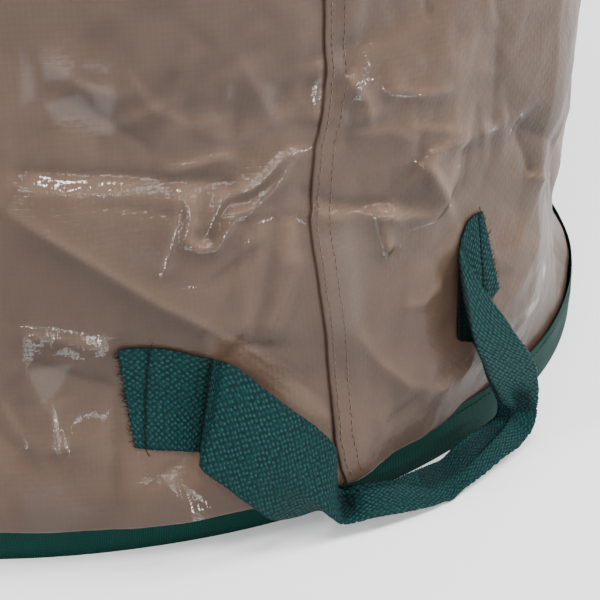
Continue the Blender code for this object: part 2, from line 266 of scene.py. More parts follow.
def wall_bulge(s, z):
    """How far the cloth stands out from its plain tube, in metres."""
    deg = np.degrees(s / R0)
    deg = (deg + 180) % 360 - 180
    sp = np.radians(deg) * R0
    free = smoothstep(0.012, 0.050, z) * (1 - smoothstep(0.655, 0.712, z))
    sewn = np.exp(-((np.abs(np.abs(np.abs(deg) - 90) - 15.5) / 5.5) ** 4)) * smoothstep(0.615, 0.650, z)
    free = free * (1 - 0.75 * sewn)
    D = np.zeros(s.shape)
    # slow sway of the whole wall
    D += 0.0060 * soft_noise(s, z * 0.7, 0.34, 3) * free
    D += -0.0120 * np.exp(-(((deg - 52) / 16) ** 2)) * smoothstep(0.03, 0.10, z) * (1 - smoothstep(0.30, 0.52, z))
    D += -0.0075 * np.exp(-(((deg - 57) / 13) ** 2)) * smoothstep(0.030, 0.060, z) * (1 - smoothstep(0.105, 0.150, z))
    D += 0.0030 * np.exp(-(((deg - 56) / 14) ** 2)) * np.exp(-(((z - 0.158) / 0.012) ** 2))
    D += -0.0085 * np.exp(-(((deg - 31) / 7) ** 2)) * np.exp(-(((z - 0.130) / 0.024) ** 2))
    hollow = np.interp(z, HOLLOW_Z, HOLLOW_MM) / 1000
    D += hollow * np.exp(-(((deg - 49) / np.where(deg < 49, 11.0, 26.0)) ** 2))
    # the roll of cloth that hangs over the tape
    g = np.interp(deg, BULGE_DEG, BULGE_MM) / 1000
    roll = smoothstep(0.0165, 0.0265, z) * (0.30 + 0.70 * (1 - smoothstep(0.028, 0.085, z)))
    D += g * roll * (1 - smoothstep(0.10, 0.22, z))
    # facets of crumpled laminate at three sizes
    busy = (0.75 + 0.45 * soft_noise(s, z, 0.21, 5)) * (1 - 0.35 * np.exp(-(((deg + 26) / 12) ** 2)))
    D += (0.0085 * facets(s, z, 0.118, 21) + 0.0050 * facets(s, z, 0.056, 22)) * free * busy
    D += 0.00210 * facets(s, z, 0.024, 23) * free * np.clip(0.45 + 1.1 * soft_noise(s, z, 0.12, 6), 0.05, 1.4)
    D += 0.00055 * facets(s, z, 0.0105, 24) * free * np.clip(0.35 + 1.3 * soft_noise(s, z, 0.08, 7), 0.0, 1.4)
    s_lo, s_hi, z_lo, z_hi = sp.min(), sp.max(), z.min(), z.max()
    for amp, w, line, lo, hi in FOLDS:
        if hi[0] < s_lo or lo[0] > s_hi or hi[1] < z_lo or lo[1] > z_hi:
            continue
        box = (sp > lo[0]) & (sp < hi[0]) & (z > lo[1]) & (z < hi[1])
        if box.any():
            d, t = along_line(sp[box], z[box], line)
            D[box] += amp * np.exp(-((np.abs(d) + 0.0004) / w)) * (np.clip(np.minimum(t, 1 - t) / 0.3, 0, 1) ** 0.8) * free[box]
    # small puckers where the base and the rim are sewn
    low = (1 - smoothstep(0.020, 0.075, z)) * smoothstep(0.003, 0.020, z)
    D += 0.0009 * soft_noise(s * 1.0, z * 0.25, 0.024, 25) * low
    high = smoothstep(0.60, 0.70, z)
    D += 0.0011 * soft_noise(s * 1.0, z * 0.22, 0.030, 26) * high * (1 - 0.6 * smoothstep(0.705, 0.72, z))
    for kind, amp, wl, wr, line in CREASES:
        lo, hi = line.min(axis=0) - 0.09, line.max(axis=0) + 0.09
        if hi[0] < s_lo or lo[0] > s_hi or hi[1] < z_lo or lo[1] > z_hi:
            continue
        box = (sp > lo[0]) & (sp < hi[0]) & (z > lo[1]) & (z < hi[1])
        if not box.any():
            continue
        d, t = along_line(sp[box], z[box], line)
        w = np.where(d > 0, wl, wr)
        shape = np.exp(-((np.abs(d) + 0.0004) / w) ** 0.92)
        ends = np.clip(np.minimum(t, 1 - t) / 0.16, 0, 1) ** 0.7
        sgn = {"ridge": 1.0, "valley": -1.0}[kind]
        D[box] += sgn * 1.45 * amp * shape * (0.25 + 0.75 * ends) * free[box]
    return D


def wall_point(s, z, out=0.0):
    s, z = np.asarray(s, float), np.asarray(z, float)
    r = RW + wall_bulge(np.atleast_1d(s), np.atleast_1d(z)).reshape(s.shape) + out
    a = s / R0
    return np.stack([r * np.sin(a), -r * np.cos(a), z + 0 * a], -1)


def px_wall(px, steps=5):
    """(s, z) where the ray through a pixel meets the wall's cloth."""
    radius = R0
    for _ in range(steps):
        q = ray_cylinder(px, radius)
        s, z = math.atan2(q[0], -q[1]) * R0, q[2]
        radius = RW + float(wall_bulge(np.array([s]), np.array([z]))[0]) + 0.001
    return s, z


def wall_normal(s, z, h=0.002):
    a, b = wall_point(s + h, z) - wall_point(s - h, z), wall_point(s, z + h) - wall_point(s, z - h)
    n = np.cross(a, b)
    return n / np.linalg.norm(n, axis=-1, keepdims=True)


# The seam's folded edge, in pixels from the top of the view to the tape.
SEAM_PX = [(325, 8), (325, 40), (327, 74), (324, 104), (320, 130), (315.3, 147), (314.2, 164), (312.5, 178), (311.3, 194), (311.8, 208), (310, 218), (311, 229), (314, 252), (317.6, 272), (321, 298), (324.4, 321), (326.7, 340), (329, 372), (331.6, 400), (334.7, 440), (338.3, 455), (341, 468), (343, 482)]
_seam = np.array([px_wall(p) for p in SEAM_PX])
_seam = _seam[np.argsort(_seam[:, 1])]
_SZ = np.concatenate([[0.0, 0.015], _seam[:, 1], [0.30, 0.38, 0.47, 0.56, 0.65, 0.76]])
_SS = np.concatenate([[_seam[0, 0]] * 2, _seam[:, 0], [-0.006, 0.002, -0.003, 0.002, 0.0, 0.0]])


def seam_shift(z):
    return np.interp(z, _SZ, _SS)


def warp_s(s0, z):
    """Round-the-wall place of sheet place s0 at height z: the seam wanders and the cloth beside it follows."""
    near = np.exp(-((np.minimum(np.abs(s0), np.abs(ROUND - s0)) / 0.085) ** 2))
    return s0 + seam_shift(z) * near


# Sharp bright edges of the folds: (half width in mm, pixels).
EDGES = [
    (0.80, [(127, 519.5), (138, 518), (150, 517)]),
    (0.60, [(153, 514.5), (164, 513), (178, 509)]),
    (0.42, [(182, 198), (189, 208), (190, 219), (185.5, 231), (182, 240)]),
    (1.3, [(181, 197), (183.5, 201)]),
    (0.42, [(181, 213), (179, 223), (173, 235), (170, 247), (165, 258), (162, 268), (159, 277)]),
    (0.9, [(161, 268), (160, 275)]),
    (0.42, [(181, 246), (191, 248), (198, 250.5), (207, 250), (214.5, 249), (220, 242), (224, 233), (229, 226)]),
    (1.1, [(183, 244.5), (190, 247.5)]),
    (1.5, [(236, 219.5), (246, 215.5)]),
    (0.42, [(247, 215), (253, 208), (262, 201), (271, 194), (278, 186), (286, 173), (292, 166)]),
    (0.42, [(207, 234), (212, 224), (215, 217), (220, 208), (223, 201), (232, 194.5), (242, 193), (253, 189), (260, 182), (269, 174), (278, 165), (286, 157), (299, 153.5), (312, 152)]),
    (0.75, [(256, 187), (263, 179.5), (270, 173)]),
    (0.42, [(28, 180), (45, 183), (62, 186), (80, 186), (100, 187), (124, 189), (150, 190)]),
    (0.38, [(28, 187), (50, 190), (70, 195), (84, 199)]),
    (1.6, [(87, 191), (98, 195), (108, 197)]),
    (0.7, [(108, 196), (121, 198)]),
    (0.5, [(176, 193), (195, 194)]),
    (0.8, [(246, 242), (250, 240)]),
    (0.6, [(187, 286), (193, 285)]),
    (0.5, [(262, 223), (270, 221), (277, 219)]),
    (0.7, [(25, 326), (40, 327), (55, 328), (70, 331), (88, 334), (112, 338)]),
    (2.2, [(27, 337), (28, 350), (27, 366)]),
    (2.4, [(48, 331), (51, 342)]),
    (2.2, [(86, 337), (98, 340), (108, 338)]),
    (2.0, [(58, 355), (68, 351), (79, 358)]),
    (2.2, [(97, 356), (103, 350), (107, 345)]),
    (1.4, [(36, 346), (44, 344)]),
    (1.5, [(54.5, 411), (56.5, 428), (57.5, 448)]),
    (0.7, [(64, 430), (68, 448)]),
    (1.5, [(76, 422), (83, 419)]),
    (1.0, [(86, 419), (95, 415.5), (104, 420), (108, 415.5)]),
    (0.9, [(130, 408), (130.5, 412)]),
    (1.5, [(140, 472), (148, 469)]),
    (1.3, [(167, 469), (171, 477)]),
    (0.5, [(178, 469), (185, 487), (190, 503)]),
    (0.8, [(181, 473), (191, 480), (199, 486)]),
    (2.6, [(190, 492), (192, 503)]),
    (1.5, [(128, 520), (136, 518), (143, 520)]),
    (0.7, [(148, 518), (160, 516), (168, 513)]),
    (1.3, [(169, 513.5), (178, 510)]),
    (0.9, [(25, 436), (27, 446)]),
    (0.4, [(68, 522), (88, 522)]),
    (1.0, [(327, 79), (321, 84), (317.5, 94), (318, 102), (323, 98), (327, 90)]),
    (1.3, [(317.5, 97), (319, 103)]),
    (2.3, [(362, 83), (371, 80)]),
    (2.6, [(357, 99), (364, 93)]),
    (0.6, [(370, 60), (372, 66)]),
    (0.5, [(385, 89), (391, 95), (408, 96.5), (423, 93)]),
    (0.7, [(457, 148), (461, 144)]),
    (0.7, [(457, 168), (460, 166)]),
    (1.0, [(448, 203), (453, 205)]),
    (0.5, [(371, 209), (375, 228), (379, 244)]),
    (0.8, [(380, 249), (384, 255)]),
    (0.7, [(399, 246), (401, 247)]),
    (0.4, [(407, 231), (420, 226), (433, 221)]),
    (0.5, [(416, 161), (421, 166)]),
    (0.6, [(300, 222), (306, 224)]),
    (1.2, [(487, 130), (497, 128)]),
    (0.6, [(519, 112), (521, 117)]),
    (0.8, [(512, 129), (513, 134)]),
    (2.0, [(541, 264), (539, 277)]),
    (1.9, [(515, 310), (524, 301), (533, 295)]),
    (0.5, [(446, 357), (452, 366)]),
    (0.5, [(454, 353), (460, 366)]),
    (0.5, [(462, 352), (470, 366)]),
]
# Painted shade and painted light on the folds, parts painted darker and paler: (factor, soft edge in mm, pixels round
# it).
PAINTED_SHADE_AND_LIGHT = [
    (0.84, 0.9, [(182, 200), (187, 208), (188, 219), (184, 231), (181, 241), (175, 252), (168, 264), (163, 272), (166, 258), (171, 246), (175, 234), (180, 222), (181, 213)]),
    (0.82, 0.9, [(208, 234), (213, 224), (217, 213), (222, 203), (232, 196), (243, 194.5), (254, 190.5), (261, 183.5), (270, 175.5), (279, 166), (288, 158), (300, 155), (292, 164), (286, 173), (277, 185), (270, 194), (261, 201), (252, 208), (246, 213), (236, 215), (229, 225), (223, 233), (219, 241), (213, 246), (207, 243)]),
    (0.90, 2.0, [(0, 212), (25, 226), (60, 243), (100, 264), (150, 295), (200, 328), (232, 345), (235, 356), (170, 352), (118, 345), (60, 330), (0, 322)]),
    (0.90, 5.0, [(0, 164), (25, 166), (100, 170), (180, 176), (232, 180), (240, 192), (225, 193), (170, 189), (100, 183), (0, 177)]),
    (0.90, 2.5, [(222, 172), (240, 168), (238, 192), (226, 190)]),
    (0.85, 2.5, [(330, 198), (352, 197), (391, 195), (436, 200), (444, 209), (420, 206), (392, 203), (352, 206), (332, 205)]),
    (0.80, 1.0, [(391, 170), (416, 163), (426, 172), (441, 201), (436, 203), (392, 197)]),
    (1.22, 0.8, [(418, 160), (464, 140), (458, 168), (447, 206), (436, 190)]),
    (1.14, 0.9, [(411, 100), (417, 100), (420, 158), (413, 158)]),
    (1.15, 2.0, [(464, 40), (480, 40), (452, 142), (438, 148)]),
    (0.84, 1.8, [(498, 40), (515, 62), (490, 112), (476, 112)]),
    (0.82, 1.2, [(519, 123), (560, 149), (556, 169), (527, 177)]),
    (0.70, 0.8, [(526, 176), (540, 177), (553, 172), (554, 175), (540, 180), (527, 179)]),
    (0.90, 2.5, [(543, 180), (556, 180), (556, 232), (546, 262), (552, 300), (546, 320), (534, 268), (528, 222)]),
    (0.88, 1.8, [(240, 233), (244, 234), (232, 300), (226, 300)]),
    (1.12, 1.2, [(243, 233), (253, 233), (250, 330), (240, 330)]),
    (1.13, 1.0, [(270, 226), (299, 218), (300, 262), (281, 264)]),
    (0.90, 0.8, [(300, 268), (301, 300), (280, 345), (258, 345), (270, 320)]),
    # painted light over the wall just above the tipping handle's strap, where the strap keeps light off it
    (1.75, 3.5, [(206, 334), (232, 337), (258, 350), (284, 368), (308, 388), (322, 410), (304, 408), (280, 394), (254, 378), (230, 366), (208, 354)]),
    # broad painted shade over stretches of the wall
    (0.86, 6.0, [(20, 192), (100, 198), (150, 203), (176, 220), (168, 262), (130, 272), (70, 238), (20, 215)]),
    (0.84, 5.0, [(20, 440), (118, 455), (132, 492), (100, 516), (20, 528)]),
    (0.85, 6.0, [(346, 372), (424, 372), (436, 398), (420, 438), (384, 456), (354, 440)]),
]
# Painted shade on the tipping handle's strap, where it lies deeper in folds and hollows: (factor, soft edge in px,
# pixels round it).
STRAP_PAINTED_SHADE = [
    (0.22, 1.5, [(448, 244), (457, 248), (461.5, 271), (467, 299), (471.5, 330), (474, 344), (448, 346)]),
    (0.35, 1.0, [(208.5, 355), (211.5, 355), (202, 452), (198.5, 452)]),
    (0.80, 4.0, [(196, 352), (210, 356), (200, 454), (188, 454)]),
    (0.45, 3.0, [(338, 494), (356, 494), (354, 517), (342, 521)]),
    (0.50, 4.0, [(515, 389), (531, 389), (531, 412), (515, 412)]),
    (0.55, 3.0, [(498, 407), (515, 407), (515, 420), (498, 420)]),
    (0.60, 3.0, [(415, 473), (440, 462), (468, 440), (492, 424), (503, 428), (480, 453), (457, 476), (435, 487), (421, 486)]),
]
# Parts that mirror the pale floor more: (amount, soft edge in mm, pixels round it).
VEILS = [
    (0.9, 1.2, [(40, 54), (58, 52), (60, 62), (76, 66), (66, 84), (44, 84)]),
    (0.8, 1.2, [(85, 66), (112, 70), (110, 76), (84, 74)]),
    (0.9, 1.6, [(44, 110), (80, 100), (92, 112), (116, 128), (116, 140), (90, 140), (56, 130)]),
    (0.8, 1.6, [(78, 86), (110, 88), (118, 100), (112, 124), (98, 116), (94, 100)]),
    (0.8, 2.0, [(20, 60), (30, 70), (34, 104), (20, 110)]),
    (0.6, 1.5, [(230, 87), (237, 86), (236, 104), (230, 104)]),
    (0.5, 3.0, [(264, 84), (278, 86), (284, 132), (272, 124)]),
    (0.8, 1.2, [(26, 374), (72, 366), (60, 390), (44, 408)]),
    (0.20, 5.0, [(20, 192), (100, 198), (150, 206), (180, 220), (168, 262), (130, 272), (70, 238), (20, 215)]),
    (0.3, 4.0, [(26, 470), (60, 470), (90, 500), (60, 515), (26, 512)]),
    (0.5, 2.0, [(48, 512), (58, 514), (54, 530), (44, 530)]),
    (1.0, 1.5, [(484, 123), (500, 124), (498, 132), (486, 132)]),
    (1.0, 1.6, [(536, 256), (548, 262), (545, 281), (537, 279)]),
    (1.0, 1.2, [(538, 293), (530, 301), (516, 314), (512, 306), (524, 296)]),
    (0.6, 2.0, [(343, 112), (352, 112), (352, 126), (345, 126)]),
    (0.6, 2.0, [(340, 50), (346, 56), (344, 70), (338, 64)]),
    (0.35, 6.0, [(370, 212), (376, 250), (350, 330), (330, 330), (322, 240)]),
]


def shape_distance(s, z, line):
    """Signed distance to a closed outline, positive inside."""
    closed = np.vstack([line, line[:1]])
    d, _ = along_line(s, z, closed)
    inside = np.zeros(s.shape, bool)
    for a, b in zip(closed[:-1], closed[1:]):
        if a[1] == b[1]:
            continue
        cross = (z > min(a[1], b[1])) & (z <= max(a[1], b[1]))
        inside ^= cross & (s < a[0] + (z - a[1]) / (b[1] - a[1]) * (b[0] - a[0]))
    return np.where(inside, np.abs(d), -np.abs(d))


def patchwork(s, z, patches, combine):
    out = np.ones(s.shape) if combine == "multiply" else np.zeros(s.shape)
    for amount, soft, pixels in patches:
        line = px_line(pixels)
        lo, hi = line.min(axis=0) - 0.02, line.max(axis=0) + 0.02
        box = (s > lo[0]) & (s < hi[0]) & (z > lo[1]) & (z < hi[1])
        if box.any():
            mask = smoothstep(-soft / 1000, soft / 1000, shape_distance(s[box], z[box], line))
            if combine == "multiply":
                out[box] *= 1 + (amount - 1) * mask
            else:
                out[box] = np.maximum(out[box], amount * mask)
    return out


def edge_marks(s, z):
    """Distance to the nearest bright edge in half widths, and how near it is in mm."""
    place, near = np.full(s.shape, 9.0), np.full(s.shape, -9.0)
    for half, pixels in EDGES:
        line = px_line(pixels)
        lo, hi = line.min(axis=0) - 0.012, line.max(axis=0) + 0.012
        box = (s > lo[0]) & (s < hi[0]) & (z > lo[1]) & (z < hi[1])
        if not box.any():
            continue
        d, t = along_line(s[box], z[box], line)
        ends = np.clip(np.minimum(t, 1 - t) / 0.10 + 0.35, 0, 1)
        w = half / 1000 * ends
        score = 2.8 - (np.abs(d) - w) * 1000
        better = score > near[box]
        place[box] = np.where(better, d / w, place[box])
        near[box] = np.where(better, score, near[box])
    return np.stack([np.clip(place, -9, 9), np.clip(near, 0, 9)], -1)


# ============================================================ mesh builders
COLLECTION = bpy.data.collections.new("bag_visual")
bpy.context.scene.collection.children.link(COLLECTION)


def make_mesh(name, verts, faces, attrs=None, smooth=True):
    me = bpy.data.meshes.new(name)
    me.from_pydata(np.asarray(verts, float).tolist(), [], [tuple(int(i) for i in f) for f in faces])
    if attrs:
        for key, values in attrs.items():
            at = me.attributes.new(key, "FLOAT_VECTOR", "POINT")
            v = np.zeros((len(verts), 3), np.float32)
            values = np.asarray(values, np.float32)
            v[:, : values.shape[1]] = values
            at.data.foreach_set("vector", v.ravel())
    me.validate()
    me.update()
    if smooth:
        me.shade_smooth()
    o = bpy.data.objects.new(name, me)
    COLLECTION.objects.link(o)
    return o


def grid_faces(n, m, close_n=False, close_m=False, flip=False, base=0):
    i = np.arange(n if close_n else n - 1)
    j = np.arange(m if close_m else m - 1)
    I, J = np.meshgrid(i, j, indexing="ij")
    a = I * m + J
    b = ((I + 1) % n) * m + J
    c = ((I + 1) % n) * m + (J + 1) % m
    d = I * m + (J + 1) % m
    f = np.stack([a, b, c, d], -1).reshape(-1, 4) + base
    return f[:, ::-1] if flip else f


def grid_object(name, P, uv, close_n=False, close_m=False, flip=False, tone=None, more=None):
    n, m = P.shape[:2]
    tone = np.ones((n, m, 1)) if tone is None else tone
    attrs = {"sz": uv.reshape(n * m, -1), "tone": tone.reshape(n * m, -1)}
    for key, values in (more or {}).items():
        attrs[key] = values.reshape(n * m, -1)
    return make_mesh(name, P.reshape(-1, 3), grid_faces(n, m, close_n, close_m, flip), attrs)


def normals_of(P):
    du = np.gradient(P, axis=0)
    dv = np.gradient(P, axis=1)
    n = np.cross(du, dv)
    return n / np.maximum(np.linalg.norm(n, axis=-1, keepdims=True), 1e-12)


class Tubes:
    """Many short round strands gathered in one mesh."""

    def __init__(self, sides=6):
        self.sides, self.v, self.f, self.uv, self.n = sides, [], [], [], 0

    def add(self, points, radii, tag=0.0):
        P = np.asarray(points, float)
        T = np.gradient(P, axis=0)
        T /= np.maximum(np.linalg.norm(T, axis=1, keepdims=True), 1e-12)
        ref = np.array([0, 0, 1.0]) if abs(T[0, 2]) < 0.9 else np.array([1.0, 0, 0])
        A = np.cross(T, ref)
        A /= np.linalg.norm(A, axis=1, keepdims=True)
        B = np.cross(T, A)
        k, n = self.sides, len(P)
        th = np.arange(k) / k * 2 * math.pi
        ring = (
            P[:, None]
            + np.asarray(radii, float)[:, None, None]
            * (np.cos(th)[None, :, None] * A[:, None] + np.sin(th)[None, :, None] * B[:, None])
        )
        self.v.append(ring.reshape(-1, 3))
        f = grid_faces(n, k, close_m=True, base=self.n)
        self.f += [tuple(x) for x in f]
        self.f.append(tuple(self.n + np.arange(k)))
        self.f.append(tuple(self.n + (n - 1) * k + np.arange(k)[::-1]))
        run = np.concatenate([[0], np.cumsum(np.linalg.norm(np.diff(P, axis=0), axis=1))])
        uv = np.zeros((n, k, 3))
        uv[..., 0] = run[:, None]
        uv[..., 1] = (th / (2 * math.pi))[None]
        uv[..., 2] = tag
        self.uv.append(uv.reshape(-1, 3))
        self.n += n * k

    def build(self, name):
        return make_mesh(name, np.concatenate(self.v), self.f, {"sz": np.concatenate(self.uv)})


def stitches(tubes, start, end, normal, radius, rise, jitter=0.0):
    """One stitch from start to end that dives into the cloth at both ends."""
    a, b = np.asarray(start, float), np.asarray(end, float)
    t = np.linspace(0, 1, 6)
    h = np.sin(math.pi * t) ** 0.6 * (rise + radius * 0.6) - radius * 0.9
    P = a + (b - a) * t[:, None] + np.asarray(normal) * h[:, None]
    tubes.add(P, radius * (0.72 + 0.28 * np.sin(math.pi * t)), tag=rng.random())


# ============================================================ materials
def nodes_of(name):
    m = bpy.data.materials.new(name)
    m.use_nodes = True
    nt = m.node_tree
    return m, nt, nt.nodes["Principled BSDF"]


class Net:
    """Short names for making shader nodes."""

    def __init__(self, nt):
        self.nt = nt

    def node(self, kind, **props):
        n = self.nt.nodes.new(kind)
        for k, v in props.items():
            setattr(n, k, v)
        return n

    def link(self, a, b):
        self.nt.links.new(a, b)

    def math(self, op, a, b=None, c=None, clamp=False):
        n = self.node("ShaderNodeMath", operation=op, use_clamp=clamp)
        for i, v in enumerate((a, b, c)):
            if v is None:
                continue
            if isinstance(v, (int, float)):
                n.inputs[i].default_value = v
            else:
                self.link(v, n.inputs[i])
        return n.outputs[0]

    def coords(self, key="sz"):
        at = self.node("ShaderNodeAttribute", attribute_name=key)
        sep = self.node("ShaderNodeSeparateXYZ")
        self.link(at.outputs["Vector"], sep.inputs[0])
        return at.outputs["Vector"], sep.outputs[0], sep.outputs[1], sep.outputs[2]

    def noise(self, vector, scale, detail=4.0, rough=0.5, distortion=0.0):
        n = self.node("ShaderNodeTexNoise")
        n.inputs["Scale"].default_value = scale
        n.inputs["Detail"].default_value = detail
        n.inputs["Roughness"].default_value = rough
        n.inputs["Distortion"].default_value = distortion
        if vector is not None:
            self.link(vector, n.inputs["Vector"])
        return n.outputs["Fac"]

    def ramp(self, fac, stops):
        n = self.node("ShaderNodeValToRGB")
        e = n.color_ramp.elements
        while len(e) < len(stops):
            e.new(0.5)
        for el, (pos, col) in zip(e, stops):
            el.position = pos
            el.color = (*col, 1.0) if len(col) == 3 else col
        self.link(fac, n.inputs["Fac"])
        return n.outputs["Color"]

    def mix(self, fac, a, b, blend="MIX"):
        n = self.node("ShaderNodeMix", data_type="RGBA", blend_type=blend)
        if isinstance(fac, (int, float)):
            n.inputs["Factor"].default_value = fac
        else:
            self.link(fac, n.inputs["Factor"])
        for key, v in (("A", a), ("B", b)):
            sock = [i for i in n.inputs if i.name == key and i.type == "RGBA"][0]
            if isinstance(v, tuple):
                sock.default_value = (*v, 1.0)
            else:
                self.link(v, sock)
        return [o for o in n.outputs if o.type == "RGBA"][0]

    def bump(self, height, distance, strength=1.0, normal=None):
        n = self.node("ShaderNodeBump")
        n.inputs["Distance"].default_value = distance
        n.inputs["Strength"].default_value = strength
        self.link(height, n.inputs["Height"])
        if normal is not None:
            self.link(normal, n.inputs["Normal"])
        return n.outputs["Normal"]


def cloth_material(name, tone=1.0, tape=0.0026):
    """Laminated woven tapes: brown, semi-gloss, with a faint grid."""
    m, nt, sh = nodes_of(name)
    k = Net(nt)
    vec, s, z, _ = k.coords()
    # grooves between tapes, both ways
    gs = k.math("ABSOLUTE", k.math("SINE", k.math("MULTIPLY", s, math.pi / tape)))
    gz = k.math("ABSOLUTE", k.math("SINE", k.math("MULTIPLY", z, math.pi / (tape * 1.06))))
    # which tape lies on top
    on = k.math(
        "MULTIPLY",
        k.math("SINE", k.math("MULTIPLY", s, math.pi / tape)),
        k.math("SINE", k.math("MULTIPLY", z, math.pi / (tape * 1.06))),
    )
    groove = k.math("MULTIPLY", k.math("POWER", gs, 0.35), k.math("POWER", gz, 0.35))
    weave = k.math("ADD", k.math("MULTIPLY", groove, 0.65), k.math("MULTIPLY", on, 0.35))
    crinkle = k.noise(vec, 95.0, 7.0, 0.62, 0.4)
    ripples = k.noise(vec, 30.0, 3.0, 0.5, 0.6)
    broad = k.noise(vec, 5.0, 4.0, 0.55)
    # sharp ridges of several sizes, in places
    ridge = k.node("ShaderNodeTexNoise", noise_type="RIDGED_MULTIFRACTAL", normalize=True)
    for key, val in (("Scale", 9.0), ("Detail", 4.0), ("Roughness", 0.42), ("Lacunarity", 2.3), ("Offset", 0.9), ("Gain", 1.6), ("Distortion", 0.35)):
        if key in ridge.inputs:
            ridge.inputs[key].default_value = val
    k.link(vec, ridge.inputs["Vector"])
    amount = k.math("MULTIPLY_ADD", k.noise(vec, 6.0, 2.0), 2.6, -0.85, clamp=True)
    n1 = k.bump(k.math("MULTIPLY", ridge.outputs["Fac"], amount), 0.0030, 0.5)
    n1 = k.bump(ripples, 0.0020, 0.5, n1)
    n2 = k.bump(crinkle, 0.0006, 0.5, n1)
    n3 = k.bump(weave, 0.00014, 0.6, n2)
    k.link(n3, sh.inputs["Normal"])
    # sharp edges of folds lean back and so mirror the lights
    _, place, near, _ = k.coords("edge")
    speck = k.noise(vec, 420.0, 3.0, 0.6)
    width = k.math("MULTIPLY_ADD", speck, 2.4, 0.0)
    edge = k.math("MULTIPLY", k.math("SUBTRACT", width, k.math("ABSOLUTE", place)), 3.0, clamp=True)
    edge = k.math("MULTIPLY", edge, k.math("MULTIPLY", near, 1.5, clamp=True), clamp=True)
    grain = k.math("MULTIPLY_ADD", k.noise(vec, 1100.0, 2.0, 0.6), 7.0, -2.7, clamp=True)
    taped = k.math("MULTIPLY_ADD", groove, 2.2, -0.35, clamp=True)
    edge = k.math("MULTIPLY", edge, k.math("MULTIPLY", grain, taped), clamp=True)
    # elsewhere folds shine along wandering lines
    _, _, _, away = k.coords("tone")
    bent = k.noise(vec, 13.0, 2.5, 0.5, 0.8)
    line = k.math("MULTIPLY_ADD", k.math("ABSOLUTE", k.math("SUBTRACT", bent, 0.52)), -150.0, 1.6, clamp=True)
    where = k.math("MULTIPLY_ADD", k.noise(vec, 7.5, 2.0), 9.0, -4.9, clamp=True)
    line = k.math("MULTIPLY", k.math("MULTIPLY", line, where), k.math("MULTIPLY", grain, away), clamp=True)
    edge = k.math("MAXIMUM", edge, line)
    lean = k.math("MULTIPLY", edge, k.math("MULTIPLY_ADD", z, -0.85, 0.50))
    tilt = k.node("ShaderNodeCombineXYZ")
    k.link(lean, tilt.inputs[2])
    leant = k.node("ShaderNodeVectorMath", operation="ADD")
    k.link(n3, leant.inputs[0])
    k.link(tilt.outputs[0], leant.inputs[1])
    unit = k.node("ShaderNodeVectorMath", operation="NORMALIZE")
    k.link(leant.outputs[0], unit.inputs[0])
    k.link(unit.outputs[0], sh.inputs["Coat Normal"])
    base = k.ramp(
        broad,
        [
            (0.30, tuple(tone * c for c in (0.0560, 0.0352, 0.0245))),
            (0.72, tuple(tone * c for c in (0.0660, 0.0428, 0.0305))),
        ],
    )
    line_mix = k.math("MULTIPLY", k.math("SUBTRACT", 1.0, groove), 0.16)
    col = k.mix(line_mix, base, tuple(tone * c for c in (0.034, 0.021, 0.014)))
    scuff = k.noise(vec, 46.0, 8.0, 0.7, 1.2)
    scuffed = k.math("MULTIPLY", k.math("GREATER_THAN", scuff, 0.69), 0.20)
    col = k.mix(scuffed, col, tuple(tone * c for c in (0.12, 0.088, 0.07)))
    # painted shade and painted light carried by the tone attribute scale the colour
    shade = k.node("ShaderNodeVectorMath", operation="SCALE")
    k.link(col, shade.inputs[0])
    _, shading, veil, _ = k.coords("tone")
    k.link(shading, shade.inputs["Scale"])
    k.link(shade.outputs[0], sh.inputs["Base Color"])
    rough = k.math("MULTIPLY_ADD", k.noise(vec, 18.0, 5.0, 0.6), 0.26, 0.27)
    k.link(rough, sh.inputs["Roughness"])
    sh.inputs["IOR"].default_value = 1.45
    sh.inputs["Specular IOR Level"].default_value = 0.12
    gloss = k.math("MULTIPLY_ADD", veil, 0.30, 0.045)
    gloss = k.math("MULTIPLY_ADD", k.noise(vec, 8.0, 3.0), 0.11, gloss)
    k.link(k.math("MAXIMUM", gloss, edge), sh.inputs["Coat Weight"])
    sh.inputs["Coat Roughness"].default_value = 0.055
    sh.inputs["Coat IOR"].default_value = 1.9
    return m


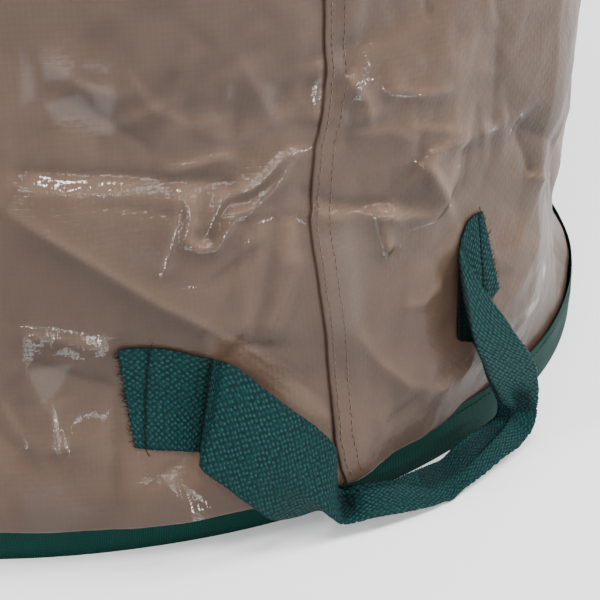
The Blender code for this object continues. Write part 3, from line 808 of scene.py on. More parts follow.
def webbing_material(name, light=1.0):
    """Coarse woven webbing: staggered oval knobs; sz holds the place along and across it."""
    m, nt, sh = nodes_of(name)
    k = Net(nt)
    vec, u, v, _ = k.coords()
    a = k.math("ADD", k.math("MULTIPLY", u, 1 / WEB_PU), k.math("MULTIPLY", v, 1 / WEB_PV))
    b = k.math("SUBTRACT", k.math("MULTIPLY", u, 1 / WEB_PU), k.math("MULTIPLY", v, 1 / WEB_PV))
    ab = k.node("ShaderNodeCombineXYZ")
    k.link(a, ab.inputs[0])
    k.link(b, ab.inputs[1])
    vor = k.node("ShaderNodeTexVoronoi", voronoi_dimensions="2D")
    vor.inputs["Scale"].default_value = 1.0
    vor.inputs["Randomness"].default_value = 0.36
    k.link(ab.outputs[0], vor.inputs["Vector"])
    dome = k.math("SUBTRACT", 1.0, k.math("MULTIPLY", vor.outputs["Distance"], 1.75), clamp=True)
    dome = k.math("POWER", dome, 0.8)
    per = k.node("ShaderNodeSeparateXYZ")
    k.link(vor.outputs["Color"], per.inputs[0])
    fibre = k.noise(vec, 1700.0, 3.0, 0.6)
    fuzz = k.noise(vec, 480.0, 4.0, 0.62)
    patch = k.noise(vec, 60.0, 4.0, 0.6)
    n1 = k.bump(dome, 0.00085, 0.85)
    n2 = k.bump(fuzz, 0.0003, 0.5, n1)
    n3 = k.bump(fibre, 0.00010, 0.5, n2)
    k.link(n3, sh.inputs["Normal"])
    c = tuple(light * x for x in (0.0006, 0.0070, 0.0075))
    d = tuple(light * x for x in (0.0026, 0.0270, 0.0270))
    e = tuple(light * x for x in (0.0230, 0.0900, 0.0850))
    col = k.ramp(dome, [(0.12, c), (0.45, d), (0.95, e)])
    col = k.mix(k.math("MULTIPLY", k.math("POWER", per.outputs[0], 1.6), 0.75), col, d)
    col = k.mix(k.math("MULTIPLY", patch, 0.40), col, d)
    col = k.mix(k.math("MULTIPLY", k.math("SUBTRACT", 1.0, fuzz), 0.6), col, c)
    # painted shade carried by the tone attribute scales the colour
    shade = k.node("ShaderNodeVectorMath", operation="SCALE")
    k.link(col, shade.inputs[0])
    k.link(k.coords("tone")[1], shade.inputs["Scale"])
    k.link(shade.outputs[0], sh.inputs["Base Color"])
    k.link(k.math("MULTIPLY_ADD", fuzz, 0.2, 0.62), sh.inputs["Roughness"])
    sh.inputs["Specular IOR Level"].default_value = 0.10
    return m


def tape_material(name):
    """Flat woven binding tape with fine ribs across it."""
    m, nt, sh = nodes_of(name)
    k = Net(nt)
    vec, u, v, _ = k.coords()
    ribs = k.math("ABSOLUTE", k.math("SINE", k.math("MULTIPLY", u, math.pi / 0.0011)))
    warp = k.math("ABSOLUTE", k.math("SINE", k.math("MULTIPLY", v, math.pi / 0.0016)))
    weave = k.math("MULTIPLY", k.math("POWER", ribs, 0.6), k.math("MULTIPLY_ADD", warp, 0.5, 0.5))
    fuzz = k.noise(vec, 500.0, 4.0, 0.6)
    wave = k.noise(vec, 30.0, 3.0, 0.5)
    n1 = k.bump(wave, 0.0014, 0.5)
    n2 = k.bump(weave, 0.00035, 0.8, n1)
    n3 = k.bump(fuzz, 0.0001, 0.4, n2)
    k.link(n3, sh.inputs["Normal"])
    col = k.ramp(weave, [(0.05, (0.0006, 0.0080, 0.0062)), (0.75, (0.0030, 0.0310, 0.0245))])
    col = k.mix(k.math("MULTIPLY", k.noise(vec, 14.0, 3.0), 0.4), col, (0.0019, 0.0190, 0.0155))
    k.link(col, sh.inputs["Base Color"])
    k.link(k.math("MULTIPLY_ADD", wave, 0.2, 0.52), sh.inputs["Roughness"])
    sh.inputs["Specular IOR Level"].default_value = 0.06
    return m


def thread_material(name, light, dark, rough=0.55):
    """Twisted thread: pale and dark strands wind round it."""
    m, nt, sh = nodes_of(name)
    k = Net(nt)
    vec, u, v, tag = k.coords()
    twist = k.math("SINE", k.math("ADD", k.math("MULTIPLY", u, 2 * math.pi / 0.0009), k.math("MULTIPLY", v, 2 * math.pi)))
    t01 = k.math("MULTIPLY_ADD", twist, 0.5, 0.5)
    col = k.ramp(t01, [(0.2, dark), (0.8, light)])
    col = k.mix(k.math("MULTIPLY", tag, 0.5), col, dark)
    k.link(col, sh.inputs["Base Color"])
    k.link(k.bump(t01, 0.0001, 0.6), sh.inputs["Normal"])
    k.link(k.math("MULTIPLY_ADD", t01, 0.15, rough), sh.inputs["Roughness"])
    sh.inputs["Specular IOR Level"].default_value = 0.15
    return m


def plastic_material(name, a, b, rough):
    m, nt, sh = nodes_of(name)
    k = Net(nt)
    tex = k.node("ShaderNodeTexCoord")
    vec = tex.outputs["Object"]
    lines = k.noise(vec, 220.0, 4.0, 0.6)
    wear = k.noise(vec, 30.0, 6.0, 0.65)
    col = k.ramp(wear, [(0.35, a), (0.70, b)])
    k.link(col, sh.inputs["Base Color"])
    k.link(k.math("MULTIPLY_ADD", lines, 0.2, rough), sh.inputs["Roughness"])
    k.link(k.bump(lines, 0.00012, 0.4), sh.inputs["Normal"])
    return m


WEB_PU, WEB_PV = 0.0034, 0.0031
CLOTH = cloth_material("laminated_cloth")
CLOTH_BASE = cloth_material("laminated_cloth_base", 0.9)
WEB = webbing_material("green_webbing")
TAPE = tape_material("green_tape")
BEIGE = thread_material("beige_thread", (0.20, 0.148, 0.106), (0.060, 0.040, 0.028))
GREEN = thread_material("green_thread", (0.0014, 0.0110, 0.0105), (0.0004, 0.0035, 0.0035), 0.7)
ROD = plastic_material("hoop_rod", (0.012, 0.012, 0.013), (0.030, 0.030, 0.032), 0.38)
SLEEVE = plastic_material("joint_sleeve", (0.26, 0.27, 0.28), (0.36, 0.37, 0.38), 0.32)


def finish_piece(o, mat, nodes=(), body=None, wall=False):
    o.data.materials.clear()
    o.data.materials.append(mat)
    if nodes:
        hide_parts(*nodes)
    if wall:
        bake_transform(o)
    elif body:
        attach(o, body)
    return o


# ============================================================ wall
def spread(a, b, step):
    return np.linspace(a, b, max(2, int(round((b - a) / step)) + 1))


FINE = 0.0018
s_right = spread(0.0, math.radians(64) * R0, FINE)
s_left = spread(ROUND - math.radians(33) * R0, ROUND, FINE)
mid_n = 180
t = np.linspace(0, 1, mid_n + 1)[1:-1]
s_mid = s_right[-1] + (s_left[0] - s_right[-1]) * t
under = ROUND + np.array([0.004, 0.008, 0.0125])
top_layer = np.concatenate([[0.0007, 0.0017, 0.0034], s_right[3:]])
flap = np.array([0.0115, 0.0075, 0.0040, 0.0014])
S0 = np.concatenate([flap, [-0.0003], top_layer, s_mid, s_left, under])
# the lap's height over the cloth under it
LIFT = np.concatenate(
    [
        [0.0004, 0.0004, 0.0004, 0.0005],
        [0.0011],
        0.0018 * (1 - smoothstep(0.0125, 0.024, top_layer)),
        0 * s_mid,
        0 * s_left,
        0 * under,
    ]
)
z_rows = np.concatenate(
    [
        np.array([0.0015, 0.006, 0.010, 0.013]),
        spread(0.0150, 0.0300, 0.0013),
        spread(0.0320, 0.2350, FINE),
    ]
)
z = z_rows[-1]
step = FINE
rows = list(z_rows)
while z < 0.7155:
    step = min(0.0085, step * 1.09)
    z += step
    rows.append(z)
rows[-1] = 0.7160
ZR = np.array(rows)
SS, ZZ = np.meshgrid(S0, ZR, indexing="ij")
SW = warp_s(SS, ZZ)
SWF = (SW + ROUND / 2) % ROUND - ROUND / 2
D = wall_bulge(SW.ravel(), ZZ.ravel()).reshape(SW.shape)
r = RW + D + LIFT[:, None] * (1 - smoothstep(0.690, 0.712, ZZ))
# the roll of cloth over the tape also sags a little
sag = np.clip(D, 0, 0.02) * (1 - smoothstep(0.022, 0.034, ZZ)) * smoothstep(0.014, 0.020, ZZ)
A = SW / R0
P = np.stack([r * np.sin(A), -r * np.cos(A), ZZ - 0.30 * sag], -1)
uv = np.stack([SS, ZZ, 0 * SS], -1)
# painted shade and painted light in the laminate's colour: slopes facing down and slopes facing left are darker, slopes
# facing up and slopes facing right paler, hollows darker; ridges are paler, partly as painted light and partly as the
# laminate's own whitening where it creases
along = np.concatenate([[0], np.cumsum(np.maximum(np.abs(np.diff(S0)), 1e-4))])
gs, gz = np.gradient(D, along, axis=0), np.gradient(D, ZR, axis=1)
bend = -(np.gradient(gs, along, axis=0) + np.gradient(gz, ZR, axis=1))
soft = bend.copy()
for _ in range(2):
    soft[1:-1] = 0.25 * soft[:-2] + 0.5 * soft[1:-1] + 0.25 * soft[2:]
    soft[:, 1:-1] = 0.25 * soft[:, :-2] + 0.5 * soft[:, 1:-1] + 0.25 * soft[:, 2:]
bend = np.tanh(soft / 90.0)
keep = smoothstep(0.024, 0.045, ZZ)
tone = np.exp(keep * (-1.05 * np.clip(gz, -0.6, 0.6) - 0.45 * np.clip(gs, -0.6, 0.6) + np.where(bend > 0, 0.16, 0.24) * bend))
# painted shade and painted light from the outlined patches, and painted shade that darkens the cloth towards the
# bottom, where the floor lights it more
tone *= patchwork(SWF, ZZ, PAINTED_SHADE_AND_LIGHT, "multiply") * (1 + 0.9 * (np.clip(ZZ, 0, 0.22) - 0.11))
tone[:7] = 1.0
tone = np.clip(tone, 0.55, 1.85)
veil = patchwork(SWF, ZZ, VEILS, "add")
marks = edge_marks(SWF, ZZ)
marks[:5] = 0
turn = np.degrees(SWF / R0)
seen = smoothstep(-40, -32, turn) * (1 - smoothstep(56, 66, turn)) * (1 - smoothstep(0.215, 0.245, ZZ))
away = (1 - seen) * smoothstep(0.03, 0.06, ZZ) * (1 - smoothstep(0.66, 0.70, ZZ))
wall = grid_object("wall_cloth", P, uv, tone=np.stack([tone, veil, away], -1), more={"edge": marks})
finish_piece(wall, CLOTH, ["wall_panel"], wall=True)

# side seam: two rows of stitches beside the folded edge
for row, (off, name) in enumerate(((0.0031, "side_seam_thread_1"), (0.0096, "side_seam_thread_2"))):
    tubes = Tubes(5)
    zz = 0.0275
    while zz < 0.7130:
        pitch = 0.00355 * (1 + 0.06 * rng.standard_normal() * 0.5)
        length = pitch * 0.62
        za, zb = zz, zz + length
        sa, sb = (seam_shift(q) + off + 0.00018 * rng.standard_normal() for q in (za, zb))
        pa, pb = wall_point(sa, za, 0.0021), wall_point(sb, zb, 0.0021)
        n = np.array([math.sin(sa / R0), -math.cos(sa / R0), 0])
        stitches(tubes, pa, pb, n, 0.00025, 0.0001)
        zz += pitch
    o = tubes.build(name + "_stitches")
    finish_piece(o, BEIGE, [name], wall=True)

# ============================================================ base
# Disc of cloth, lying on the floor and creased, its edge turned up inside the wall.
rings = np.concatenate([[0.0005], np.linspace(0.008, 0.300, 66), [0.306, 0.312, 0.318, 0.3235, 0.3275, 0.3290]])
ang = np.linspace(0, 2 * math.pi, 241)[:-1]
RR, AA = np.meshgrid(rings, ang, indexing="ij")
X, Y = RR * np.sin(AA), -RR * np.cos(AA)
xs, ys = X + 1.05, Y + 1.05
lift = np.clip(
    0.0035 * (facets(xs, ys, 0.15, 41) + 0.2) + 0.0016 * facets(xs, ys, 0.06, 42) + 0.0005 * facets(xs, ys, 0.03, 43),
    0,
    None,
)
lift = lift * (1 - smoothstep(0.285, 0.318, RR)) + 0.0002
Z = 0.0016 + lift + 0.0150 * smoothstep(0.318, 0.3290, RR) ** 2
P = np.stack([X, Y, Z], -1)
base = grid_object("base_cloth", P, np.stack([X, Y, 0 * X], -1), close_m=True, flip=True)
finish_piece(base, CLOTH_BASE, ["base_panel"], body="root")


# ============================================================ edge tapes
def ring_profile(name, profile_fn, n_ang, mat, nodes, body=None, wall=False):
    """A ring whose profile (r, z) may change round the bag."""
    ang = np.linspace(0, 2 * math.pi, n_ang + 1)[:-1]
    prof = profile_fn(ang)  # (angles, points, 2)
    P = np.stack(
        [
            prof[..., 0] * np.sin(ang)[:, None],
            -prof[..., 0] * np.cos(ang)[:, None],
            prof[..., 1],
        ],
        -1,
    )
    seg = np.linalg.norm(np.diff(P[0], axis=0, append=P[0][:1]), axis=1)
    run = np.concatenate([[0], np.cumsum(seg)[:-1]])
    uv = np.zeros(P.shape)
    uv[..., 0] = (ang * R0)[:, None]
    uv[..., 1] = run[None]
    o = grid_object(name, P, uv, close_n=True, close_m=True, flip=False)
    return finish_piece(o, mat, nodes, body=body, wall=wall)


def rounded(points, r=0.0004):
    """Cuts each corner of a closed profile."""
    out = []
    n = len(points)
    for i in range(n):
        p, a, b = (np.array(points[j % n], float) for j in (i, i - 1, i + 1))
        for q in (a, b):
            d = q - p
            length = np.linalg.norm(d)
            out.append(p + d / length * min(r, 0.45 * length))
    return np.array(out)


def base_profile(ang):
    s = ang * R0
    wob = 0.0007 * soft_noise(s, 0 * s, 0.09, 51) + 0.00035 * soft_noise(s, 0 * s, 0.03, 52)
    top = 0.0252 + 0.0007 * soft_noise(s, 0 * s, 0.06, 53)
    zs = np.array([0.0, 0.005, 0.010, 0.015, 0.020, 0.0235])
    rows = []
    for k in range(len(ang)):
        outer = [(0.3350 + wob[k] * z / 0.025 + 0.0003 * math.sin(z * 260 + s[k] * 40), z) for z in zs[::-1]]
        prof = [(0.3346 + wob[k], top[k])] + outer + [(0.3346, 0.0), (0.3300, 0.0), (0.3302, 0.0012), (0.3336, 0.0014)]
        prof += [(0.3341 + wob[k] * 0.5, 0.012), (0.3342 + wob[k], top[k] - 0.0004)]
        rows.append(prof)
    return np.array(rows)


o = ring_profile("base_edge_tape", base_profile, 420, TAPE, ["base_edge_binding"], body="root")

tubes = Tubes(5)
n_st = 520
for k in range(n_st):
    a0, a1 = (2 * math.pi * (k + d) / n_st for d in (0.0, 0.70))
    s = a0 * R0
    r = 0.3351 + 0.0007 * float(soft_noise(np.array([s]), np.array([0.0]), 0.09, 51)[0])
    zt = 0.0212 + 0.0003 * rng.standard_normal() * 0.4
    pa, pb = ((r * math.sin(a), -r * math.cos(a), zt) for a in (a0, a1))
    stitches(tubes, pa, pb, (math.sin(a0), -math.cos(a0), 0), 0.00024, 0.0001)
o = tubes.build("base_seam_stitches")
finish_piece(o, GREEN, ["base_seam_thread"], body="root")

# ============================================================ rim
HEM_LOW, HEM_HIGH, HEM_IN = 0.7135, 0.7585, 0.3180


def hem_profile(ang):
    s = ang * R0
    pucker = 0.0008 * soft_noise(s, 0 * s, 0.035, 61) + 0.0005 * soft_noise(s, 0 * s, 0.014, 62)
    wall_r = RW + wall_bulge(warp_s(s, 0 * s + HEM_LOW), 0 * s + HEM_LOW)
    rows = []
    for k in range(len(ang)):
        p = pucker[k]
        prof = [(0.3331 + 0.2 * p, HEM_HIGH - 0.004), (0.3335 + 0.5 * p, 0.748), (0.3337 + p, 0.738), (0.3332 + p, 0.729)]
        prof += [(0.3326 + 0.3 * p, 0.7225), (max(wall_r[k] + 0.0009, 0.3331 + p), 0.7170), (wall_r[k] + 0.0008, HEM_LOW)]
        prof += [(wall_r[k] + 0.0003, HEM_LOW + 0.0004), (0.3320, 0.7220), (0.3322, 0.740), (0.3315, 0.7530)]
        prof += [(0.3290, 0.7565), (0.3235, 0.7569), (0.3200, 0.7535), (0.3192 - 0.3 * p, 0.742), (0.3191 - 0.6 * p, 0.729)]
        prof += [(0.3196 - p, 0.7155), (0.3188 - p, 0.7150), (0.3181 - 0.6 * p, 0.729), (0.3180 - 0.3 * p, 0.742)]
        prof += [(0.3188, 0.7545), (0.3232, 0.7583), (0.3292, 0.7583), (0.3322, 0.7565)]
        rows.append(prof)
    return np.array(rows)


o = ring_profile("rim_hem_cloth", hem_profile, 360, CLOTH, ["rim_hem"], body="rim")


def rim_tape_profile(ang):
    s = ang * R0
    p = 0.0005 * soft_noise(s, 0 * s, 0.03, 63) + 0.0003 * soft_noise(s, 0 * s, 0.012, 64)
    low = 0.7352 + 0.0007 * soft_noise(s, 0 * s, 0.07, 65)
    rows = []
    for k in range(len(ang)):
        q, zl = p[k], low[k]
        prof = [(0.3345 + q, 0.7560), (0.3347 + q, 0.750), (0.3348 + q, 0.743), (0.3349 + q, zl), (0.3342 + q, zl - 0.0003)]
        prof += [(0.3342 + q, 0.744), (0.3340 + q, 0.7545), (0.3325, 0.7578), (0.3290, 0.7590), (0.3228, 0.7590)]
        prof += [(0.3186, 0.7576), (0.3173 - q, 0.7530), (0.3172 - q, 0.744), (0.3173 - q, zl - 0.0003), (0.3166 - q, zl)]
        prof += [(0.3164 - q, 0.744), (0.3166 - q, 0.7545), (0.3180, 0.7588), (0.3226, 0.7600), (0.3292, 0.7600), (0.3333, 0.7587)]
        rows.append(prof)
    return np.array(rows)


o = ring_profile("rim_edge_tape", rim_tape_profile, 360, TAPE, ["rim_edge_binding"], body="rim")

for name, zrow, rad, count, mat, slot in (
    ("rim_hem_thread", 0.7225, 0.3330, 560, BEIGE, "beige_thread"),
    ("rim_binding_thread", 0.7392, 0.3351, 560, GREEN, "green_thread"),
):
    tubes = Tubes(5)
    for k in range(count):
        a0, a1 = (2 * math.pi * (k + d) / count for d in (0.0, 0.70))
        s = np.array([a0 * R0])
        if name == "rim_hem_thread":
            bump = 0.0008 * soft_noise(s, 0 * s, 0.035, 61) + 0.0005 * soft_noise(s, 0 * s, 0.014, 62)
            rr = 0.3327 + 0.3 * float(bump[0])
        else:
            bump = 0.0005 * soft_noise(s, 0 * s, 0.03, 63) + 0.0003 * soft_noise(s, 0 * s, 0.012, 64)
            rr = 0.3349 + float(bump[0])
        zt = zrow + 0.00012 * rng.standard_normal()
        pa, pb = ((rr * math.sin(a), -rr * math.cos(a), zt) for a in (a0, a1))
        stitches(tubes, pa, pb, (math.sin(a0), -math.cos(a0), 0), 0.00026, 0.0002)
    o = tubes.build(name + "_stitches")
    finish_piece(o, mat, [name], body="rim")

# hoop and the sleeve over its ends
tubes = Tubes(14)
aa = np.radians(np.linspace(180.25, 539.75, 241))
tubes.add(np.stack([0.3248 * np.sin(aa), -0.3248 * np.cos(aa), 0 * aa + 0.7520], -1), np.full(241, 0.0025))
finish_piece(tubes.build("rim_hoop_rod"), ROD, ["rim_hoop"], body="rim")
ang = np.linspace(0, 2 * math.pi, 33)[:-1]
prof = [(-0.0200, 0.0035), (-0.0200, 0.0039), (-0.0196, 0.0042), (-0.0192, 0.0042), (-0.0188, 0.0040), (-0.0060, 0.0040), (-0.0050, 0.0037), (-0.0040, 0.0040)]
prof += [(0.0040, 0.0040), (0.0050, 0.0037), (0.0060, 0.0040), (0.0188, 0.0040), (0.0192, 0.0042), (0.0196, 0.0042), (0.0200, 0.0039), (0.0200, 0.0035)]
prof += [(0.0060, 0.0034), (-0.0060, 0.0034)]
pr = np.array(prof)
P = np.zeros((len(pr), 32, 3))
P[..., 0] = pr[:, 0:1]
P[..., 1] = 0.32425 + pr[:, 1:2] * np.cos(ang)
P[..., 2] = 0.7520 + pr[:, 1:2] * np.sin(ang)
uv = np.zeros(P.shape)
o = grid_object("hoop_sleeve", P, uv, close_n=True, close_m=True, flip=True)
finish_piece(o, SLEEVE, ["hoop_joint_sleeve"], body="rim")


# ============================================================ webbing
def catmull(points, t):
    """A smooth curve through points (k, ...) at parameters t from 0 to k - 1."""
    p = np.asarray(points, float)
    k = len(p)
    i = np.clip(np.floor(t).astype(int), 0, k - 2)
    f = (t - i).reshape((-1,) + (1,) * (p.ndim - 1))
    p1, p2 = p[i], p[i + 1]
    p0 = np.where((i > 0).reshape(f.shape), p[np.maximum(i - 1, 0)], 2 * p1 - p2)
    p3 = np.where((i < k - 2).reshape(f.shape), p[np.minimum(i + 2, k - 1)], 2 * p2 - p1)
    tight = 0.42
    m1, m2 = tight * (p2 - p0), tight * (p3 - p1)
    f2, f3 = f * f, f * f * f
    return (2 * f3 - 3 * f2 + 1) * p1 + (f3 - 2 * f2 + f) * m1 + (-2 * f3 + 3 * f2) * p2 + (f3 - f2) * m2


def webbing_surface(stations, step_u, n_v, length=None, roundness=0.0042):
    """The middle surface of a strap. Each station holds its upper edge, crease and lower edge."""
    st = np.asarray(stations, float)
    k = len(st)
    t = np.linspace(0, k - 1, 40 * (k - 1) + 1)
    c = catmull(st, t).mean(axis=1)
    run = np.concatenate([[0], np.cumsum(np.linalg.norm(np.diff(c, axis=0), axis=1))])
    total = run[-1]
    n_u = int(total / step_u) + 1
    u = np.linspace(0, total, n_u)
    tu = np.interp(u, run, t)
    S = catmull(st, tu)
    P = np.zeros((n_u, n_v, 3))
    V = np.linspace(0, 1, n_v)
    for i in range(n_u):
        e1, m, e2 = S[i]
        a, b = e1 - m, e2 - m
        la, lb = np.linalg.norm(a), np.linalg.norm(b)
        q = min(roundness, 0.48 * la, 0.48 * lb)
        pa, pb = m + a / max(la, 1e-9) * q, m + b / max(lb, 1e-9) * q
        mid = 2 * m - 0.5 * (pa + pb)
        w = np.linspace(0, 1, 13)[:, None]
        bend = (1 - w) ** 2 * pa + 2 * w * (1 - w) * mid + w * w * pb
        w2 = np.linspace(0, 1, 9)[:-1, None]
        path = np.concatenate([e1 + (pa - e1) * w2, bend, (pb + (e2 - pb) * w2[1:]), e2[None]])
        d = np.concatenate([[0], np.cumsum(np.linalg.norm(np.diff(path, axis=0), axis=1))])
        P[i] = np.stack([np.interp(V * d[-1], d, path[:, j]) for j in range(3)], -1)
    # soften corners along the strap
    for _ in range(3):
        P[1:-1] = 0.25 * P[:-2] + 0.5 * P[1:-1] + 0.25 * P[2:]
    return P, u, V, tu


def off_wall(P, gap, where):
    """Pushes points out so that they keep their distance from the wall's cloth."""
    r = np.hypot(P[..., 0], P[..., 1])
    s = np.arctan2(P[..., 0], -P[..., 1]) * R0
    z = np.clip(P[..., 2], 0.0, TOP_Z)
    rw = RW + wall_bulge(s.ravel(), z.ravel()).reshape(s.shape)
    rw = np.maximum(rw, np.where(P[..., 2] < 0.0275, 0.3355, 0.0))
    need = np.maximum(rw + gap - r, 0) * where
    # spread the push so that no dent is left
    for _ in range(10):
        soft = need.copy()
        soft[1:-1] = np.maximum(need[1:-1], 0.5 * (need[:-2] + need[2:]))
        soft[:, 1:-1] = np.maximum(soft[:, 1:-1], 0.5 * (soft[:, :-2] + soft[:, 2:]))
        need = soft
    f = (r + need) / r
    Q = P.copy()
    Q[..., 0] *= f
    Q[..., 1] *= f
    return Q


def weave(u, v):
    return np.cos(2 * math.pi * u / WEB_PU) * np.cos(2 * math.pi * v / WEB_PV)


def view_of(P):
    """Pixel places of points."""
    d = P - CAM_P
    depth = d @ CAM_D
    return 300 + FOCAL_PX * (d @ CAM_R) / depth, 300 - FOCAL_PX * (d @ CAM_U) / depth


# painted shade on the strap: darker inside outlines drawn in the camera's view
def paint_strap_shade(P):
    x, y = view_of(P)
    tone = np.ones(x.shape)
    for amount, soft, pixels in STRAP_PAINTED_SHADE:
        mask = smoothstep(-soft, soft, shape_distance(x, y, np.array(pixels, float)))
        tone *= 1 + (amount - 1) * mask
    return tone


def webbing_object(name, P, u, V, width=0.05, half=0.00085, knob=0.00010, grooves=(), tone=None, rows=None):
    """A closed strap. With rows, only that stretch of it, so that a strap can be split where it turns freely."""
    n_u, n_v = P.shape[:2]
    U, W = np.meshgrid(u, V * width, indexing="ij")
    N = normals_of(P)
    # uneven edges
    wob = 0.00028 * np.cos(2 * math.pi * u / (WEB_PU / 2)) + 0.00035 * soft_noise(u, 0 * u, 0.013, 71)
    edge_dir1 = (P[:, 0] - P[:, 1]) / np.linalg.norm(P[:, 0] - P[:, 1], axis=1, keepdims=True)
    edge_dir2 = (P[:, -1] - P[:, -2]) / np.linalg.norm(P[:, -1] - P[:, -2], axis=1, keepdims=True)
    P = P.copy()
    P[:, 0] += edge_dir1 * wob[:, None]
    P[:, -1] += edge_dir2 * wob[::-1][:, None]
    k = weave(U, W)
    fine = 0.00010 * soft_noise(U, W, 0.0028, 72)
    groove = np.zeros(U.shape)
    for g in grooves:
        groove += 0.00055 * np.exp(-(((U - g(W / width)) / 0.0016) ** 2))
    edge = np.ones(n_v)
    edge[0] = edge[-1] = 0.30
    edge[1] = edge[-2] = 0.85
    up = (half + knob * k + fine) * edge[None] - groove
    dn = (half - knob * k + fine) * edge[None] - 0 * groove
    top, bot = P + N * up[..., None], P - N * dn[..., None]
    sz = np.stack([U, W, 0 * U], -1)
    sz2 = sz.copy()
    sz2[..., 0] += WEB_PU / 2 + 0.31
    tone = np.ones(U.shape) if tone is None else tone.copy()
    # painted shade in the stitch grooves; the strap also gets darker towards both edges
    for g in grooves:
        tone *= 1 - 0.62 * np.exp(-(((U - g(W / width)) / 0.0009) ** 2))
    tone *= 1 - 0.35 * np.exp(-np.minimum(W, width - W) / 0.0012)
    # both faces, as rows of position, cloth place and tone
    both = [np.concatenate([a, b, tone[..., None]], axis=-1) for a, b in ((top, sz), (bot, sz2))]
    first, last = (0, n_u - 1) if rows is None else rows
    both = [a[first : last + 1] for a in both]
    n, m = last - first + 1, n_v
    I, J = np.arange(n - 1), np.arange(m - 1)
    nm = n * m
    data = np.concatenate([a.reshape(nm, -1) for a in both])
    rim = [
        np.stack([nm + I * m, nm + (I + 1) * m, (I + 1) * m, I * m], -1),
        np.stack([I * m + m - 1, (I + 1) * m + m - 1, nm + (I + 1) * m + m - 1, nm + I * m + m - 1], -1),
        np.stack([J, J + 1, nm + J + 1, nm + J], -1),
        np.stack([nm + (n - 1) * m + J, nm + (n - 1) * m + J + 1, (n - 1) * m + J + 1, (n - 1) * m + J], -1),
    ]
    faces = np.concatenate([grid_faces(n, m), grid_faces(n, m, flip=True, base=nm), *rim])
    o = make_mesh(name, data[:, :3], faces, {"sz": data[:, 3:6], "tone": data[:, 6:]})
    # an end that meets the rest of its strap has a sharp rim, so that the faces stay smooth across the meeting
    row = np.arange(2 * nm) % nm // m
    meets = ((row == 0) & (first > 0)) | ((row == n - 1) & (last < n_u - 1))
    if meets.any():
        ends = np.zeros(2 * len(o.data.edges), np.int32)
        o.data.edges.foreach_get("vertices", ends)
        sharp = o.data.attributes.new("sharp_edge", "BOOLEAN", "EDGE")
        sharp.data.foreach_set("value", meets[ends.reshape(-1, 2)].all(axis=1))
    return o


def frays(tubes, P, end, count, seed_shift=0.0):
    """Loose fibres along a cut end."""
    row, nxt = (P[0], P[2]) if end == 0 else (P[-1], P[-3])
    outward = row - nxt
    outward /= np.linalg.norm(outward, axis=1, keepdims=True)
    across = np.gradient(row, axis=0)
    across /= np.linalg.norm(across, axis=1, keepdims=True)
    n = np.cross(across, outward)
    if n[len(n) // 2] @ row[len(n) // 2] < 0:
        n = -n
    for _ in range(count):
        x = rng.random() * (len(row) - 1)
        i = int(x)
        p = row[i] + (row[min(i + 1, len(row) - 1)] - row[i]) * (x - i)
        length = 0.0008 + 0.0026 * rng.random() ** 2.2
        side = across[i] * (rng.random() - 0.5) * 1.1
        rise = n[i] * (rng.random() - 0.35) * 0.5
        t = np.linspace(0, 1, 5)[:, None]
        q = p - outward[i] * 0.0012 + n[i] * (rng.random() - 0.4) * 0.0010 + (outward[i] * t + (side + rise) * t * t) * (length + 0.0012)
        tubes.add(q, np.array([1, 1, 0.9, 0.7, 0.35]) * 0.00016, tag=rng.random())


def surface_at(P, u, x, v, lift):
    """A point on the strap's outer face at length x and place v from 0 to 1."""
    i = np.clip(np.searchsorted(u, x) - 1, 0, len(u) - 2)
    f = (x - u[i]) / (u[i + 1] - u[i])
    j = v * (P.shape[1] - 1)
    j0 = min(int(j), P.shape[1] - 2)
    g = j - j0
    p = (
        P[i, j0] * (1 - f) * (1 - g) + P[i + 1, j0] * f * (1 - g) + P[i, j0 + 1] * (1 - f) * g + P[i + 1, j0 + 1] * f * g
    )
    a, b = P[i + 1, j0] - P[i, j0], P[i, j0 + 1] - P[i, j0]
    n = np.cross(a, b)
    n /= np.linalg.norm(n)
    return p + n * lift, n


def stitch_row(P, u, line, name, node, body, flip, tails=True):
    """A row of stitches across the strap; line gives the length along it for each v."""
    tubes = Tubes(5)
    v = 0.045
    while v < 0.95:
        dv = 0.058
        a, n = surface_at(P, u, line(v), v, 0.00055 * flip)
        b, _ = surface_at(P, u, line(v + dv), v + dv * 0.78, 0.00055 * flip)
        stitches(tubes, a, b, n * flip, 0.00030, 0.0001)
        v += dv
    if tails:
        for v, sgn in ((0.02, -1), (0.97, 1)):
            a, n = surface_at(P, u, line(v), v, 0.0008 * flip)
            b, _ = surface_at(P, u, line(v) + 0.003, v, 0.0008 * flip)
            c = surface_at(P, u, line(0.5), 0.45, 0)[0] - surface_at(P, u, line(0.5), 0.55, 0)[0]
            c = -sgn * c / np.linalg.norm(c)
            t = np.linspace(0, 1, 7)[:, None]
            q = a + c * (-0.001 + 0.0060 * t) + (b - a) * (0.6 * t * t) + n * flip * (0.0006 - 0.0007 * t + 0.0006 * np.sin(3 * t))
            tubes.add(q, np.full(7, 0.00022), tag=0.5)
    o = tubes.build(name)
    return finish_piece(o, GREEN, [node], body=body)


WEB_PU, WEB_PV = 0.0034, 0.0031

